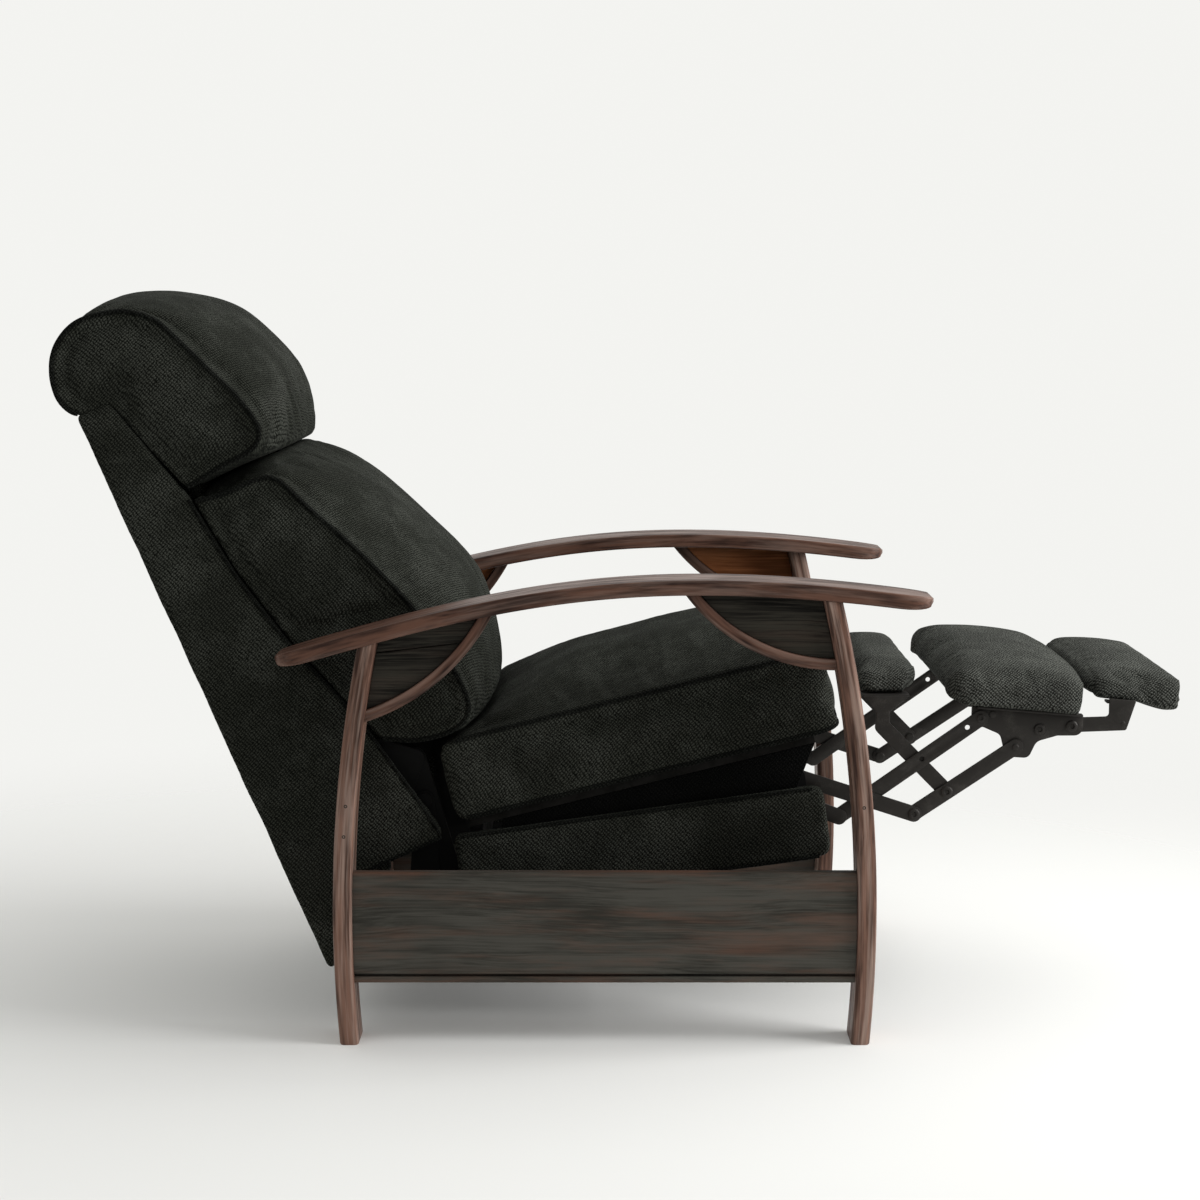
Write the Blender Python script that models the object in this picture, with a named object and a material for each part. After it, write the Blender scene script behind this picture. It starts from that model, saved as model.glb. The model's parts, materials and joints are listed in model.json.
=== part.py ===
"""Bow-arm push-back recliner, shown reclined with its footrest out. Metres, +Z up, +X towards the feet."""

import math

import bmesh
import bpy
from mathutils import Vector

# Middle of the overall length, and clearances
ORIGIN_X = 0.009
SEAT_GAP = 0.0003
PLAY = 0.0004
PIN_PLAY = 0.0003

# Side frames: bent legs, bow arms, panels
HALF_WIDTH = 0.375
ARM_OVERHANG = 0.003
ARM_WIDTH = 0.090
ARM_TIP_WIDTH = 0.056
ARM_THICKNESS = 0.0205
ARM_TIP_THICKNESS = 0.011
ARM_TIP_LENGTH = 0.045
ARM_TOP_CURVE = ((-0.451, 0.537), (-0.160, 0.621), (0.020, 0.673), (0.433, 0.616))
ARM_STATIONS = 32
LEG_WIDTH = 0.026
LEG_DEPTH = 0.070
LEG_BOW_RADIUS = 1.900
LEG_BOW_HEIGHT = 0.175
FRONT_LEG_X = 0.350
REAR_LEG_X = -0.365
LEG_STEPS = 10
PANEL_BOTTOM = 0.086
PANEL_HEIGHT = 0.151
PANEL_THICKNESS = 0.022
PANEL_INSET = 0.010
BEAD_HEIGHT = 0.009
GROOVE = 0.003
RIM_THICKNESS = 0.015
RIM_DEPTH = 0.030
RIM_STEPS = 9
CORBEL_THICKNESS = 0.014
FRONT_CORBEL_RADIUS = 0.256
FRONT_CORBEL_HEIGHT = 0.517
FRONT_CORBEL_SLOPE = 0.0
REAR_CORBEL_RADIUS = 0.300
REAR_CORBEL_HEIGHT = 0.446
REAR_CORBEL_SLOPE = 18.0

# Cross rails and the steel rails that stand on them
CROSS_RAIL_BOTTOM = 0.095
CROSS_RAIL_HEIGHT = 0.055
CROSS_RAIL_DEPTH = 0.028
FRONT_CROSS_X = 0.054
REAR_CROSS_X = -0.286
BASE_RAIL_HEIGHT = 0.035
BASE_FOOT_WIDTH = 0.030
BASE_RAIL_OVERHANG = 0.004

# Steel linkage: layers count inwards from the seat plate
PLATE_INSET = 0.038
STEEL = 0.004
LINK_HALF = 0.011
PIN_RADIUS = 0.0055
HEAD_RADIUS = 0.0085
HEAD_HEIGHT = 0.002
ROUND_STEPS = 12
SEAT_PIVOT = (-0.050, 0.232)
BACK_PIVOT = (-0.272, 0.376)
BACK_LINK_PIN = (-0.300, 0.290)
RECLINE_LINK_REACH = 0.045
BACK_TURN = 9.5
SEAT_TURN = 5.0
CROSS_PIN_FROM_TAIL = 0.0558
CROSS_NECK = 0.019
NECK_DROP = 0.018
BRACKET_HALF = 0.014
BRACKET_SPLIT = 0.125
LUG_ROOT = 0.024
STRIP_HALF = 0.024
PLATE_REAR = -0.232
REAR_BOSS = 0.057
FRONT_BOSSES = (-0.149, -0.034)
TOE_ARM_REACH = 0.066
TOE_ARM_HALF = 0.011

# Seat
SIDE_GAP = 0.024
SEAT_TILT = 7.95
RAIL_REAR = (-0.205, 0.171)
RAIL_SETBACK = 0.0197
RAIL_HEIGHT = 0.100
RAIL_THICKNESS = 0.030
RAIL_CORNER = 0.014
RAIL_PLAY = 0.0016
RISER_THICKNESS = 0.016
CUSHION_REAR = (-0.218, 0.287)
CUSHION_TILT = 13.9
CUSHION_LENGTH = 0.556
CUSHION_THICKNESS = 0.117
CUSHION_CROWN = 0.042
DECK_THICKNESS = 0.010
DECK_SETBACK = 0.020
REAR_RAIL_THICKNESS = 0.020
REAR_RAIL_HEIGHT = 0.042
TUBE_RADIUS = 0.011
TUBE_X = -0.140

# Back: u runs up the outer back from its lower edge, v runs forward from it
BACK_FOOT = (-0.385, 0.086)
BACK_LEAN = 23.9
BACK_PANEL_THICKNESS = 0.016
BACK_PANEL_HEIGHT = 0.838
WING_THICKNESS = 0.024
WING_FOOT_DEPTH = 0.045
WING_SHOULDER = 0.105
WING_FRONT = ((0.108, 0.214), (0.294, 0.180), (0.443, 0.132), (0.560, 0.105), (0.677, 0.0905))
WING_TOP_DEPTH = 0.045
BACK_BRACKET_HALF = 0.012
WING_BOLTS = ((0.300, 0.125), (0.190, 0.140))
BOSS_RADIUS = 0.010
BACK_REST = 0.0007
HEAD_REST = 0.004
HEAD_SLOPE = (0.760, 0.0678)

# Footrest pads, each on a covered board
MAIN_BOARD_LENGTH = 0.2006
MAIN_PITCH = -4.6
MAIN_SIDE_INSET = 0.023
MAIN_THICKNESS = 0.044
MAIN_CROWN = 0.018
MAIN_BOARD = 0.006
TOE_BOARD_LENGTH = 0.123
TOE_PITCH = -5.0
TOE_SIDE_PLAY = 0.0079
TOE_THICKNESS = 0.030
TOE_CROWN = 0.010
TOE_BOARD = 0.005
MID_BOARD_LENGTH = 0.080
MID_PITCH = 0.0
MID_SIDE_PLAY = 0.0039
MID_THICKNESS = 0.028
MID_CROWN = 0.007
MID_BOARD = 0.005
BOARD_INSET = 0.012
PAD_CORNER = 0.018
FLANGE = 0.003
FLANGE_REACH = 0.022
MAIN_FLANGE = (0.040, 0.206)
TOE_FLANGE = (0.024, 0.066)
MID_FLANGE = (0.010, 0.075)
MID_FLANGE_REACH = 0.033

# Soft forms: the back's cushions are pairs of points at the side edge and on the crown
BACK_CUSHION = (
    ((0.262, 0.1915), (0.288, 0.1860)), ((0.246, 0.245), (0.240, 0.245)), ((0.243, 0.296), (0.232, 0.300)),
    ((0.262, 0.322), (0.250, 0.344)), ((0.310, 0.326), (0.302, 0.378)), ((0.411, 0.310), (0.400, 0.394)),
    ((0.512, 0.275), (0.508, 0.360)), ((0.600, 0.235), (0.590, 0.319)), ((0.655, 0.210), (0.652, 0.278)),
    ((0.674, 0.183), (0.681, 0.230)), ((0.676, 0.140), (0.686, 0.150)), ((0.675, 0.0925), (0.677, 0.0925)))
HEAD_CUSHION = (
    ((0.694, 0.0925), (0.694, 0.0925)), ((0.697, 0.150), (0.692, 0.165)), ((0.702, 0.198), (0.693, 0.250)),
    ((0.722, 0.2185), (0.716, 0.266)), ((0.772, 0.211), (0.779, 0.271)), ((0.833, 0.187), (0.826, 0.260)),
    ((0.884, 0.167), (0.879, 0.240)), ((0.920, 0.150), (0.914, 0.214)), ((0.945, 0.122), (0.945, 0.168)),
    ((0.958, 0.085), (0.973, 0.105)), ((0.957, 0.046), (0.973, 0.050)), ((0.936, 0.006), (0.948, 0.002)),
    ((0.905, -0.018), (0.913, -0.026)), ((0.873, -0.024), (0.874, -0.034)), ((0.850, -0.016), (0.848, -0.023)),
    ((0.842, -0.004), (0.842, -0.006)))
PROFILE_POINTS = 24
CUSHION_STATIONS = 12
PAD_STATIONS = 10
CROWN_POWER = 3.0
END_DOME = 0.006

RIGHT, LEFT = -1, 1
SIDES = ((RIGHT, "right"), (LEFT, "left"))

FINISHES = {
    "wood": ((0.155, 0.082, 0.062), 0.55, 0.0),
    "dark_wood": ((0.040, 0.035, 0.030), 0.60, 0.0),
    "raw_wood": ((0.36, 0.25, 0.15), 0.75, 0.0),
    "fabric": ((0.018, 0.019, 0.017), 0.95, 0.0),
    "steel": ((0.035, 0.032, 0.028), 0.45, 0.8),
}

SEAT_NOSE_X = CUSHION_REAR[0] + CUSHION_LENGTH * math.cos(math.radians(CUSHION_TILT))
RAIL_LENGTH = (SEAT_NOSE_X - RAIL_SETBACK - RAIL_REAR[0]) / math.cos(math.radians(SEAT_TILT))


def ahead(x, z):
    """Point of the side view at a distance in front of the seat cushion's nose."""
    return SEAT_NOSE_X + x, z


# Pivots and boards of the footrest, which keep their place in front of the seat
LOWER_PIVOT = ahead(-0.0624, 0.3485)
CRANK_PIVOT = ahead(-0.1219, 0.3358)
LONG_TAIL = ahead(0.0003, 0.290)
LONG_TIP = ahead(0.1983, 0.430)
CARRIER_TAIL = ahead(0.1053, 0.294)
CARRIER_TIP = ahead(0.2473, 0.389)
CROSS_KNEE = ahead(0.0613, 0.417)
BRACKET_BOLT = ahead(0.2813, 0.4135)
TOE_PIVOT = ahead(0.3263, 0.418)
MAIN_BOARD_REAR = ahead(0.1443, 0.452)
TOE_BOARD_REAR = ahead(0.3513, 0.4545)
MID_BOARD_REAR = ahead(0.0233, 0.4625)

# Distances from the centre plane
LEG_OUTER = HALF_WIDTH - ARM_OVERHANG
LEG_INNER = LEG_OUTER - LEG_DEPTH
PANEL_OUTER = LEG_OUTER - PANEL_INSET
PANEL_INNER = PANEL_OUTER - PANEL_THICKNESS
CROSS_RAIL_TOP = CROSS_RAIL_BOTTOM + CROSS_RAIL_HEIGHT
SEAT_HALF = LEG_INNER - SIDE_GAP


def layer(depth):
    """Inner and outer distance from the centre plane of one steel layer."""
    outer = SEAT_HALF - PLATE_INSET - depth * (STEEL + PLAY)
    return outer - STEEL, outer


PLATE, LINK_1, LINK_2, LINK_3, LINK_4 = (layer(k) for k in range(5))
LUG, RECLINE_LAYER = layer(-1), layer(-2)
RAIL_INNER = LUG[1] + RAIL_PLAY
WING_INNER = SEAT_HALF - WING_THICKNESS
MAIN_HALF = SEAT_HALF - MAIN_SIDE_INSET
TOE_HALF = LINK_4[0] - TOE_SIDE_PLAY
MID_HALF = LINK_4[0] - MID_SIDE_PLAY


def along(start, degrees, s, n=0.0):
    """Point s along and n above a line that leaves start at an angle."""
    c, d = math.cos(math.radians(degrees)), math.sin(math.radians(degrees))
    return start[0] + s * c - n * d, start[1] + s * d + n * c


def turned(point, pivot, degrees):
    """Point turned about a pivot, positive as a hinge about +Y turns it."""
    c, d = math.cos(math.radians(degrees)), math.sin(math.radians(degrees))
    x, z = point[0] - pivot[0], point[1] - pivot[1]
    return pivot[0] + x * c + z * d, pivot[1] - x * d + z * c


def back_point(u, v):
    """Point of the back's own u, v frame, in the side view."""
    return along(along(BACK_FOOT, 90.0 + BACK_LEAN, u), BACK_LEAN, v)


def recline_link_foot():
    """Pivot on the base that is as far from the back's link pin when reclined as when upright."""
    upright = turned(turned(BACK_LINK_PIN, BACK_PIVOT, BACK_TURN), SEAT_PIVOT, SEAT_TURN)
    dx, dz = upright[0] - BACK_LINK_PIN[0], upright[1] - BACK_LINK_PIN[1]
    length = math.hypot(dx, dz)
    middle = BACK_LINK_PIN[0] + dx / 2, BACK_LINK_PIN[1] + dz / 2
    return middle[0] + dz / length * RECLINE_LINK_REACH, middle[1] - dx / length * RECLINE_LINK_REACH


def bezier(points, t):
    """Point of a cubic curve."""
    a, b, c, d = ((1 - t) ** 3, 3 * t * (1 - t) ** 2, 3 * t * t * (1 - t), t ** 3)
    return tuple(a * p + b * q + c * r + d * s for p, q, r, s in zip(*points))


def arm_underside(x):
    """Height of the arm's underside over x, away from its tips."""
    low, high = 0.0, 1.0
    for _ in range(40):
        t = (low + high) / 2
        if bezier(ARM_TOP_CURVE, t)[0] < x:
            low = t
        else:
            high = t
    return bezier(ARM_TOP_CURVE, low)[1] - ARM_THICKNESS


def leg_x(centre, bow, z):
    """Centre line of a bent leg: bow is 1 for a leg that bulges forwards and -1 for one that bulges back."""
    return centre - bow * (LEG_BOW_RADIUS - math.sqrt(LEG_BOW_RADIUS ** 2 - (z - LEG_BOW_HEIGHT) ** 2))


def filleted(corners, steps=3):
    """Outline whose corners (x, z, radius) are rounded."""
    outline = []
    count = len(corners)
    for i, (x, z, radius) in enumerate(corners):
        here = Vector((x, z))
        before = (Vector(corners[i - 1][:2]) - here).normalized()
        after = (Vector(corners[(i + 1) % count][:2]) - here).normalized()
        half = before.angle(after) / 2
        if radius <= 0 or half > math.radians(88):
            outline.append((x, z))
            continue
        reach = radius / math.tan(half)
        centre = here + (before + after).normalized() * (radius / math.sin(half))
        start = here + before * reach - centre
        end = here + after * reach - centre
        sweep = start.angle_signed(end)
        for k in range(steps + 1):
            a = -sweep * k / steps
            c, s = math.cos(a), math.sin(a)
            outline.append((centre.x + start.x * c - start.y * s, centre.y + start.x * s + start.y * c))
    return outline


def circle(centre, radius):
    """Round outline."""
    angles = [2 * math.pi * (k + 0.5) / ROUND_STEPS for k in range(ROUND_STEPS)]
    return [(centre[0] + radius * math.cos(a), centre[1] + radius * math.sin(a)) for a in angles]


def hull(*groups):
    """Convex outline round groups of points."""
    ordered = sorted({point for group in groups for point in group})
    outline = []
    for sequence in (ordered, ordered[::-1]):
        chain = []
        for x, z in sequence:
            while len(chain) > 1:
                (ax, az), (bx, bz) = chain[-2:]
                if (bx - ax) * (z - az) - (bz - az) * (x - ax) > 0:
                    break
                chain.pop()
            chain.append((x, z))
        outline += chain[:-1]
    return outline


def capsule(start, end, half):
    """Straight link with round ends."""
    return hull(circle(start, half), circle(end, half))


def add_prism(bm, outline, near, far, origin):
    """Close an outline of the side view into a solid between two distances along Y."""
    rows = []
    for y in (near, far):
        rows.append([bm.verts.new((x - origin[0], y, z - origin[1])) for x, z in outline])
    faces = [bm.faces.new(rows[0]), bm.faces.new(rows[1])]
    for i in range(len(outline)):
        j = (i + 1) % len(outline)
        faces.append(bm.faces.new((rows[0][i], rows[0][j], rows[1][j], rows[1][i])))
    return faces


class Assembly:
    """Places the pieces, each body about its own joint axis."""

    def __init__(self):
        for old in list(bpy.data.objects):
            bpy.data.objects.remove(old, do_unlink=True)
        self.axes = {"frame": (ORIGIN_X, 0.0)}
        self.empties = {"frame": None}
        self.materials = {name: self.material(name, *values) for name, values in FINISHES.items()}

    @staticmethod
    def material(name, colour, roughness, metallic):
        """Principled finish."""
        finish = bpy.data.materials.new(name)
        finish.use_nodes = True
        shader = finish.node_tree.nodes["Principled BSDF"]
        shader.inputs["Base Color"].default_value = (*colour, 1.0)
        shader.inputs["Roughness"].default_value = roughness
        shader.inputs["Metallic"].default_value = metallic
        finish.diffuse_color = (*colour, 1.0)
        return finish

    def body(self, name, parent, pivot):
        """Empty on the joint axis of a moving body."""
        empty = bpy.data.objects.new(name + "_axis", None)
        bpy.context.scene.collection.objects.link(empty)
        above = self.axes[parent]
        empty.parent = self.empties[parent]
        empty.location = (pivot[0] - above[0], 0.0, pivot[1] - above[1])
        self.axes[name] = pivot
        self.empties[name] = empty

    def place(self, name, bm, body, finish, smooth=False, tool=False):
        """Turn a mesh into a named object of a body."""
        bmesh.ops.recalc_face_normals(bm, faces=bm.faces)
        mesh = bpy.data.meshes.new(name)
        bm.to_mesh(mesh)
        bm.free()
        piece = bpy.data.objects.new(name, mesh)
        bpy.context.scene.collection.objects.link(piece)
        piece.parent = self.empties[body]
        if tool:
            piece.hide_render = True
            piece.display_type = "WIRE"
            return piece
        mesh.materials.append(self.materials[finish])
        if smooth:
            mesh.shade_smooth()
        return piece

    def combine(self, piece, operation, solids, body):
        """Join solids to a piece, or cut them out of it."""
        bm = bmesh.new()
        for outline, near, far in solids:
            add_prism(bm, outline, near, far, self.axes[body])
        operand = self.place(piece.name + "_" + operation.lower(), bm, body, None, tool=True)
        change = piece.modifiers.new(operation.title(), "BOOLEAN")
        change.operation = operation
        change.solver = "EXACT"
        change.use_self = True
        change.object = operand

    def prism(self, name, body, finish, outline, near, far, joined=(), cut=(), bevel=0.0):
        """Piece made from one outline, with solids joined to it and holes cut through it."""
        bm = bmesh.new()
        add_prism(bm, outline, near, far, self.axes[body])
        piece = self.place(name, bm, body, finish)
        if bevel:
            edge = piece.modifiers.new("Bevel", "BEVEL")
            edge.width = bevel
            edge.segments = 1
            edge.limit_method = "ANGLE"
            edge.angle_limit = math.radians(50)
        if joined:
            self.combine(piece, "UNION", joined, body)
        if cut:
            self.combine(piece, "DIFFERENCE", cut, body)
        return piece

    def loft(self, name, body, finish, edge, crown, half, stations):
        """Padded form: the edge profile at both ends swells to the crown profile between them."""
        origin = self.axes[body]
        bm = bmesh.new()
        rows = []
        for k in range(stations + 1):
            share = math.sin(math.pi / 2 * (2 * k / stations - 1))
            swell = 1 - abs(share) ** CROWN_POWER
            ring = []
            for (x0, z0), (x1, z1) in zip(edge, crown):
                x, z = x0 + (x1 - x0) * swell, z0 + (z1 - z0) * swell
                ring.append(bm.verts.new((x - origin[0], half * share, z - origin[1])))
            rows.append(ring)
        for one, two in zip(rows, rows[1:]):
            for i in range(len(one)):
                j = (i + 1) % len(one)
                bm.faces.new((one[i], one[j], two[j], two[i]))
        for ring, side in ((rows[0], RIGHT), (rows[-1], LEFT)):
            middle = sum((v.co for v in ring), Vector()) / len(ring)
            inner = [bm.verts.new(v.co.lerp(middle, 0.35)) for v in ring]
            for vertex in inner:
                vertex.co.y -= side * END_DOME
            for i in range(len(ring)):
                j = (i + 1) % len(ring)
                bm.faces.new((ring[i], ring[j], inner[j], inner[i]))
            bm.faces.new(inner)
        return self.place(name, bm, body, finish, smooth=True)


def spread(side, span):
    """Distances along Y of a span, on one side of the chair."""
    return (side * span[0], side * span[1]) if side > 0 else (side * span[1], side * span[0])


def smooth_curve(points):
    """Smooth curve through points, with one more point between each two of them."""
    curve = [points[0]]
    for i in range(len(points) - 1):
        a, b, c, d = (Vector(points[min(max(i + shift, 0), len(points) - 1)]) for shift in (-1, 0, 1, 2))
        middle = (9 * (b + c) - a - d) / 16
        curve += [(middle.x, middle.y), points[i + 1]]
    return curve


def box_profile(start, tilt, first, last, low, high, low_radius, high_radius):
    """Rounded side profile of a boxed cushion in the frame of its tilted base."""
    corners = ((first, low, low_radius), (last, low, low_radius), (last, high, high_radius), (first, high, high_radius))
    steps = PROFILE_POINTS // 4 - 1
    return [along(start, tilt, s, n) for s, n in filleted(corners, steps)]


def side_frames(chair):
    """Arms, legs, panels and corbels of both sides."""
    for side, word in SIDES:
        arm(chair, side, word)
        for place, centre, bow in (("front", FRONT_LEG_X, 1), ("rear", REAR_LEG_X, -1)):
            leg(chair, side, word + "_" + place + "_leg", centre, bow)
        side_panel(chair, side, word)
        for place in ("front", "rear"):
            corbel(chair, side, word, place)


def arm(chair, side, word):
    """Bow arm: a bent board that thins and narrows at both tips."""
    bm = bmesh.new()
    rings = []
    for k in range(ARM_STATIONS + 1):
        t = 0.5 - 0.5 * math.cos(math.pi * k / ARM_STATIONS)
        x, top = bezier(ARM_TOP_CURVE, t)
        from_tip = min(x - ARM_TOP_CURVE[0][0], ARM_TOP_CURVE[3][0] - x)
        share = min(1.0, from_tip / ARM_TIP_LENGTH)
        full = math.sqrt(1 - (1 - share) ** 2)
        thick = ARM_TIP_THICKNESS + (ARM_THICKNESS - ARM_TIP_THICKNESS) * full
        wide = ARM_TIP_WIDTH + (ARM_WIDTH - ARM_TIP_WIDTH) * full
        trim = (ARM_WIDTH - wide) / 2
        outer, inner = HALF_WIDTH - trim, HALF_WIDTH - ARM_WIDTH + trim
        corners = ((outer, top), (inner, top), (inner, top - thick), (outer, top - thick))
        rings.append([bm.verts.new((x - ORIGIN_X, side * y, z)) for y, z in corners])
    for one, two in zip(rings, rings[1:]):
        for i in range(4):
            j = (i + 1) % 4
            bm.faces.new((one[i], one[j], two[j], two[i]))
    bm.faces.new(rings[0])
    bm.faces.new(rings[-1])
    piece = chair.place(word + "_arm", bm, "frame", "wood")
    edge = piece.modifiers.new("Bevel", "BEVEL")
    edge.width = 0.003
    edge.segments = 1
    edge.limit_method = "ANGLE"
    edge.angle_limit = math.radians(50)


def leg(chair, side, name, centre, bow):
    """Bent leg from the floor to the arm's underside."""
    rows = []
    for edge in (-LEG_WIDTH / 2, LEG_WIDTH / 2):
        top = arm_underside(leg_x(centre, bow, 0.58) + edge)
        for _ in range(4):
            top = arm_underside(leg_x(centre, bow, top) + edge) - SEAT_GAP
        heights = [top * k / LEG_STEPS for k in range(LEG_STEPS + 1)]
        rows.append([(leg_x(centre, bow, z) + edge, z) for z in heights])
    outline = rows[1] + rows[0][::-1]
    chair.prism(name, "frame", "wood", outline, *spread(side, (LEG_INNER, LEG_OUTER)), bevel=0.0025)


def leg_face(place, z):
    """X of the leg's face towards the middle of the chair."""
    if place == "front":
        return leg_x(FRONT_LEG_X, 1, z) - LEG_WIDTH / 2 - SEAT_GAP
    return leg_x(REAR_LEG_X, -1, z) + LEG_WIDTH / 2 + SEAT_GAP


def side_panel(chair, side, word):
    """Lower side panel between the legs, with a groove above a bead along its lower edge."""
    heights = [PANEL_BOTTOM + PANEL_HEIGHT * k / LEG_STEPS for k in range(LEG_STEPS + 1)]
    outline = [(leg_face("front", z), z) for z in heights] + [(leg_face("rear", z), z) for z in heights[::-1]]
    bead = PANEL_BOTTOM + BEAD_HEIGHT
    groove = ((-1.0, bead), (1.0, bead), (1.0, bead + GROOVE), (-1.0, bead + GROOVE))
    cut = (groove, *spread(side, (PANEL_OUTER - GROOVE, PANEL_OUTER + GROOVE)))
    span = spread(side, (PANEL_INNER, PANEL_OUTER))
    chair.prism(word + "_side_panel", "frame", "dark_wood", outline, *span, cut=(cut,))


def corbel_arc(place, inset):
    """Arc of a corbel's rim from the leg to the arm's underside, inset from its outer edge."""
    front = place == "front"
    radius = FRONT_CORBEL_RADIUS if front else REAR_CORBEL_RADIUS
    slope = math.radians(FRONT_CORBEL_SLOPE if front else REAR_CORBEL_SLOPE)
    foot = FRONT_CORBEL_HEIGHT if front else REAR_CORBEL_HEIGHT
    away = -1 if front else 1
    centre = leg_face(place, foot) - away * radius * math.sin(slope), foot + radius * math.cos(slope)
    r = radius - inset

    def point(a):
        return centre[0] + away * r * math.sin(a), centre[1] - r * math.cos(a)

    def meet(test, low, high):
        for _ in range(40):
            middle = (low + high) / 2
            low, high = (middle, high) if test(*point(middle)) else (low, middle)
        return low

    first = meet(lambda x, z: (x - leg_face(place, z)) * away < 0, -0.6, 1.0)
    last = meet(lambda x, z: z < arm_underside(x) - SEAT_GAP, first + 0.05, 1.5)
    return [point(first + (last - first) * k / RIM_STEPS) for k in range(RIM_STEPS + 1)]


def corbel(chair, side, word, place):
    """Curved bracket under the arm: a bent rim and the thin panel that it frames."""
    rim = corbel_arc(place, 0.0) + corbel_arc(place, RIM_THICKNESS)[::-1]
    outer = PANEL_OUTER + PANEL_INSET / 2
    name = word + "_" + place + "_corbel"
    chair.prism(name + "_rim", "frame", "wood", rim, *spread(side, (outer - RIM_DEPTH, outer)))
    arc = corbel_arc(place, RIM_THICKNESS + SEAT_GAP)
    low, high = arc[0][1], arc[-1]
    under = low
    for _ in range(6):
        under = arm_underside(leg_face(place, under)) - SEAT_GAP
    heights = [low + (under - low) * k / 4 for k in range(5)]
    leg_side = [(leg_face(place, z), z) for z in heights]
    corner = leg_side[-1][0]
    arm_side = []
    for k in range(1, 6):
        x = corner + (high[0] - corner) * k / 6
        arm_side.append((x, arm_underside(x) - SEAT_GAP))
    outline = arc + arm_side[::-1] + leg_side[:0:-1]
    middle = outer - RIM_DEPTH / 2
    span = spread(side, (middle - CORBEL_THICKNESS / 2, middle + CORBEL_THICKNESS / 2))
    chair.prism(name + "_panel", "frame", "dark_wood", outline, *span)


def base(chair):
    """Cross rails between the side panels, and the steel rails that carry the seat."""
    reach = PANEL_INNER - SEAT_GAP
    for name, x in (("front_cross_rail", FRONT_CROSS_X), ("rear_cross_rail", REAR_CROSS_X)):
        front, rear = x + CROSS_RAIL_DEPTH / 2, x - CROSS_RAIL_DEPTH / 2
        outline = ((rear, CROSS_RAIL_BOTTOM), (front, CROSS_RAIL_BOTTOM), (front, CROSS_RAIL_TOP), (rear, CROSS_RAIL_TOP))
        chair.prism(name, "frame", "raw_wood", outline, -reach, reach)
    low = CROSS_RAIL_TOP + SEAT_GAP
    top = low + BASE_RAIL_HEIGHT
    rear = REAR_CROSS_X - CROSS_RAIL_DEPTH / 2 - BASE_RAIL_OVERHANG
    front = FRONT_CROSS_X + CROSS_RAIL_DEPTH / 2 + BASE_RAIL_OVERHANG
    foot = recline_link_foot()
    corners = ((rear, low, 0), (front, low, 0), (front, top, RAIL_CORNER), (rear, top, RAIL_CORNER))
    for side, word in SIDES:
        span = spread(side, LUG)
        lugs = []
        for pivot in (SEAT_PIVOT, foot):
            root = [(pivot[0] + shift, low + STEEL) for shift in (-LUG_ROOT, LUG_ROOT)]
            lugs.append((hull(circle(pivot, BRACKET_HALF), root), *span))
        flange = ((rear, low), (front, low), (front, low + STEEL), (rear, low + STEEL))
        pin = circle(SEAT_PIVOT, PIN_RADIUS)
        head = circle(SEAT_PIVOT, HEAD_RADIUS)
        joined = (
            *lugs,
            (flange, *spread(side, (LUG[0] + STEEL / 2, LUG[0] + BASE_FOOT_WIDTH))),
            (pin, *spread(side, (PLATE[0] - PIN_PLAY - HEAD_HEIGHT / 2, LUG[0] + STEEL / 2))),
            (head, *spread(side, (PLATE[0] - PIN_PLAY - HEAD_HEIGHT, PLATE[0] - PIN_PLAY))),
        )
        cut = (hole(side, foot, LUG),)
        chair.prism(word + "_base_rail", "frame", "steel", filleted(corners), *span, joined=joined, cut=cut)


def rail_point(s, n):
    """Point of the seat rails' tilted frame."""
    return along(RAIL_REAR, SEAT_TILT, s, n)


def cushion_point(s, n):
    """Point of the seat cushion's tilted frame."""
    return along(CUSHION_REAR, CUSHION_TILT, s, n)


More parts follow.
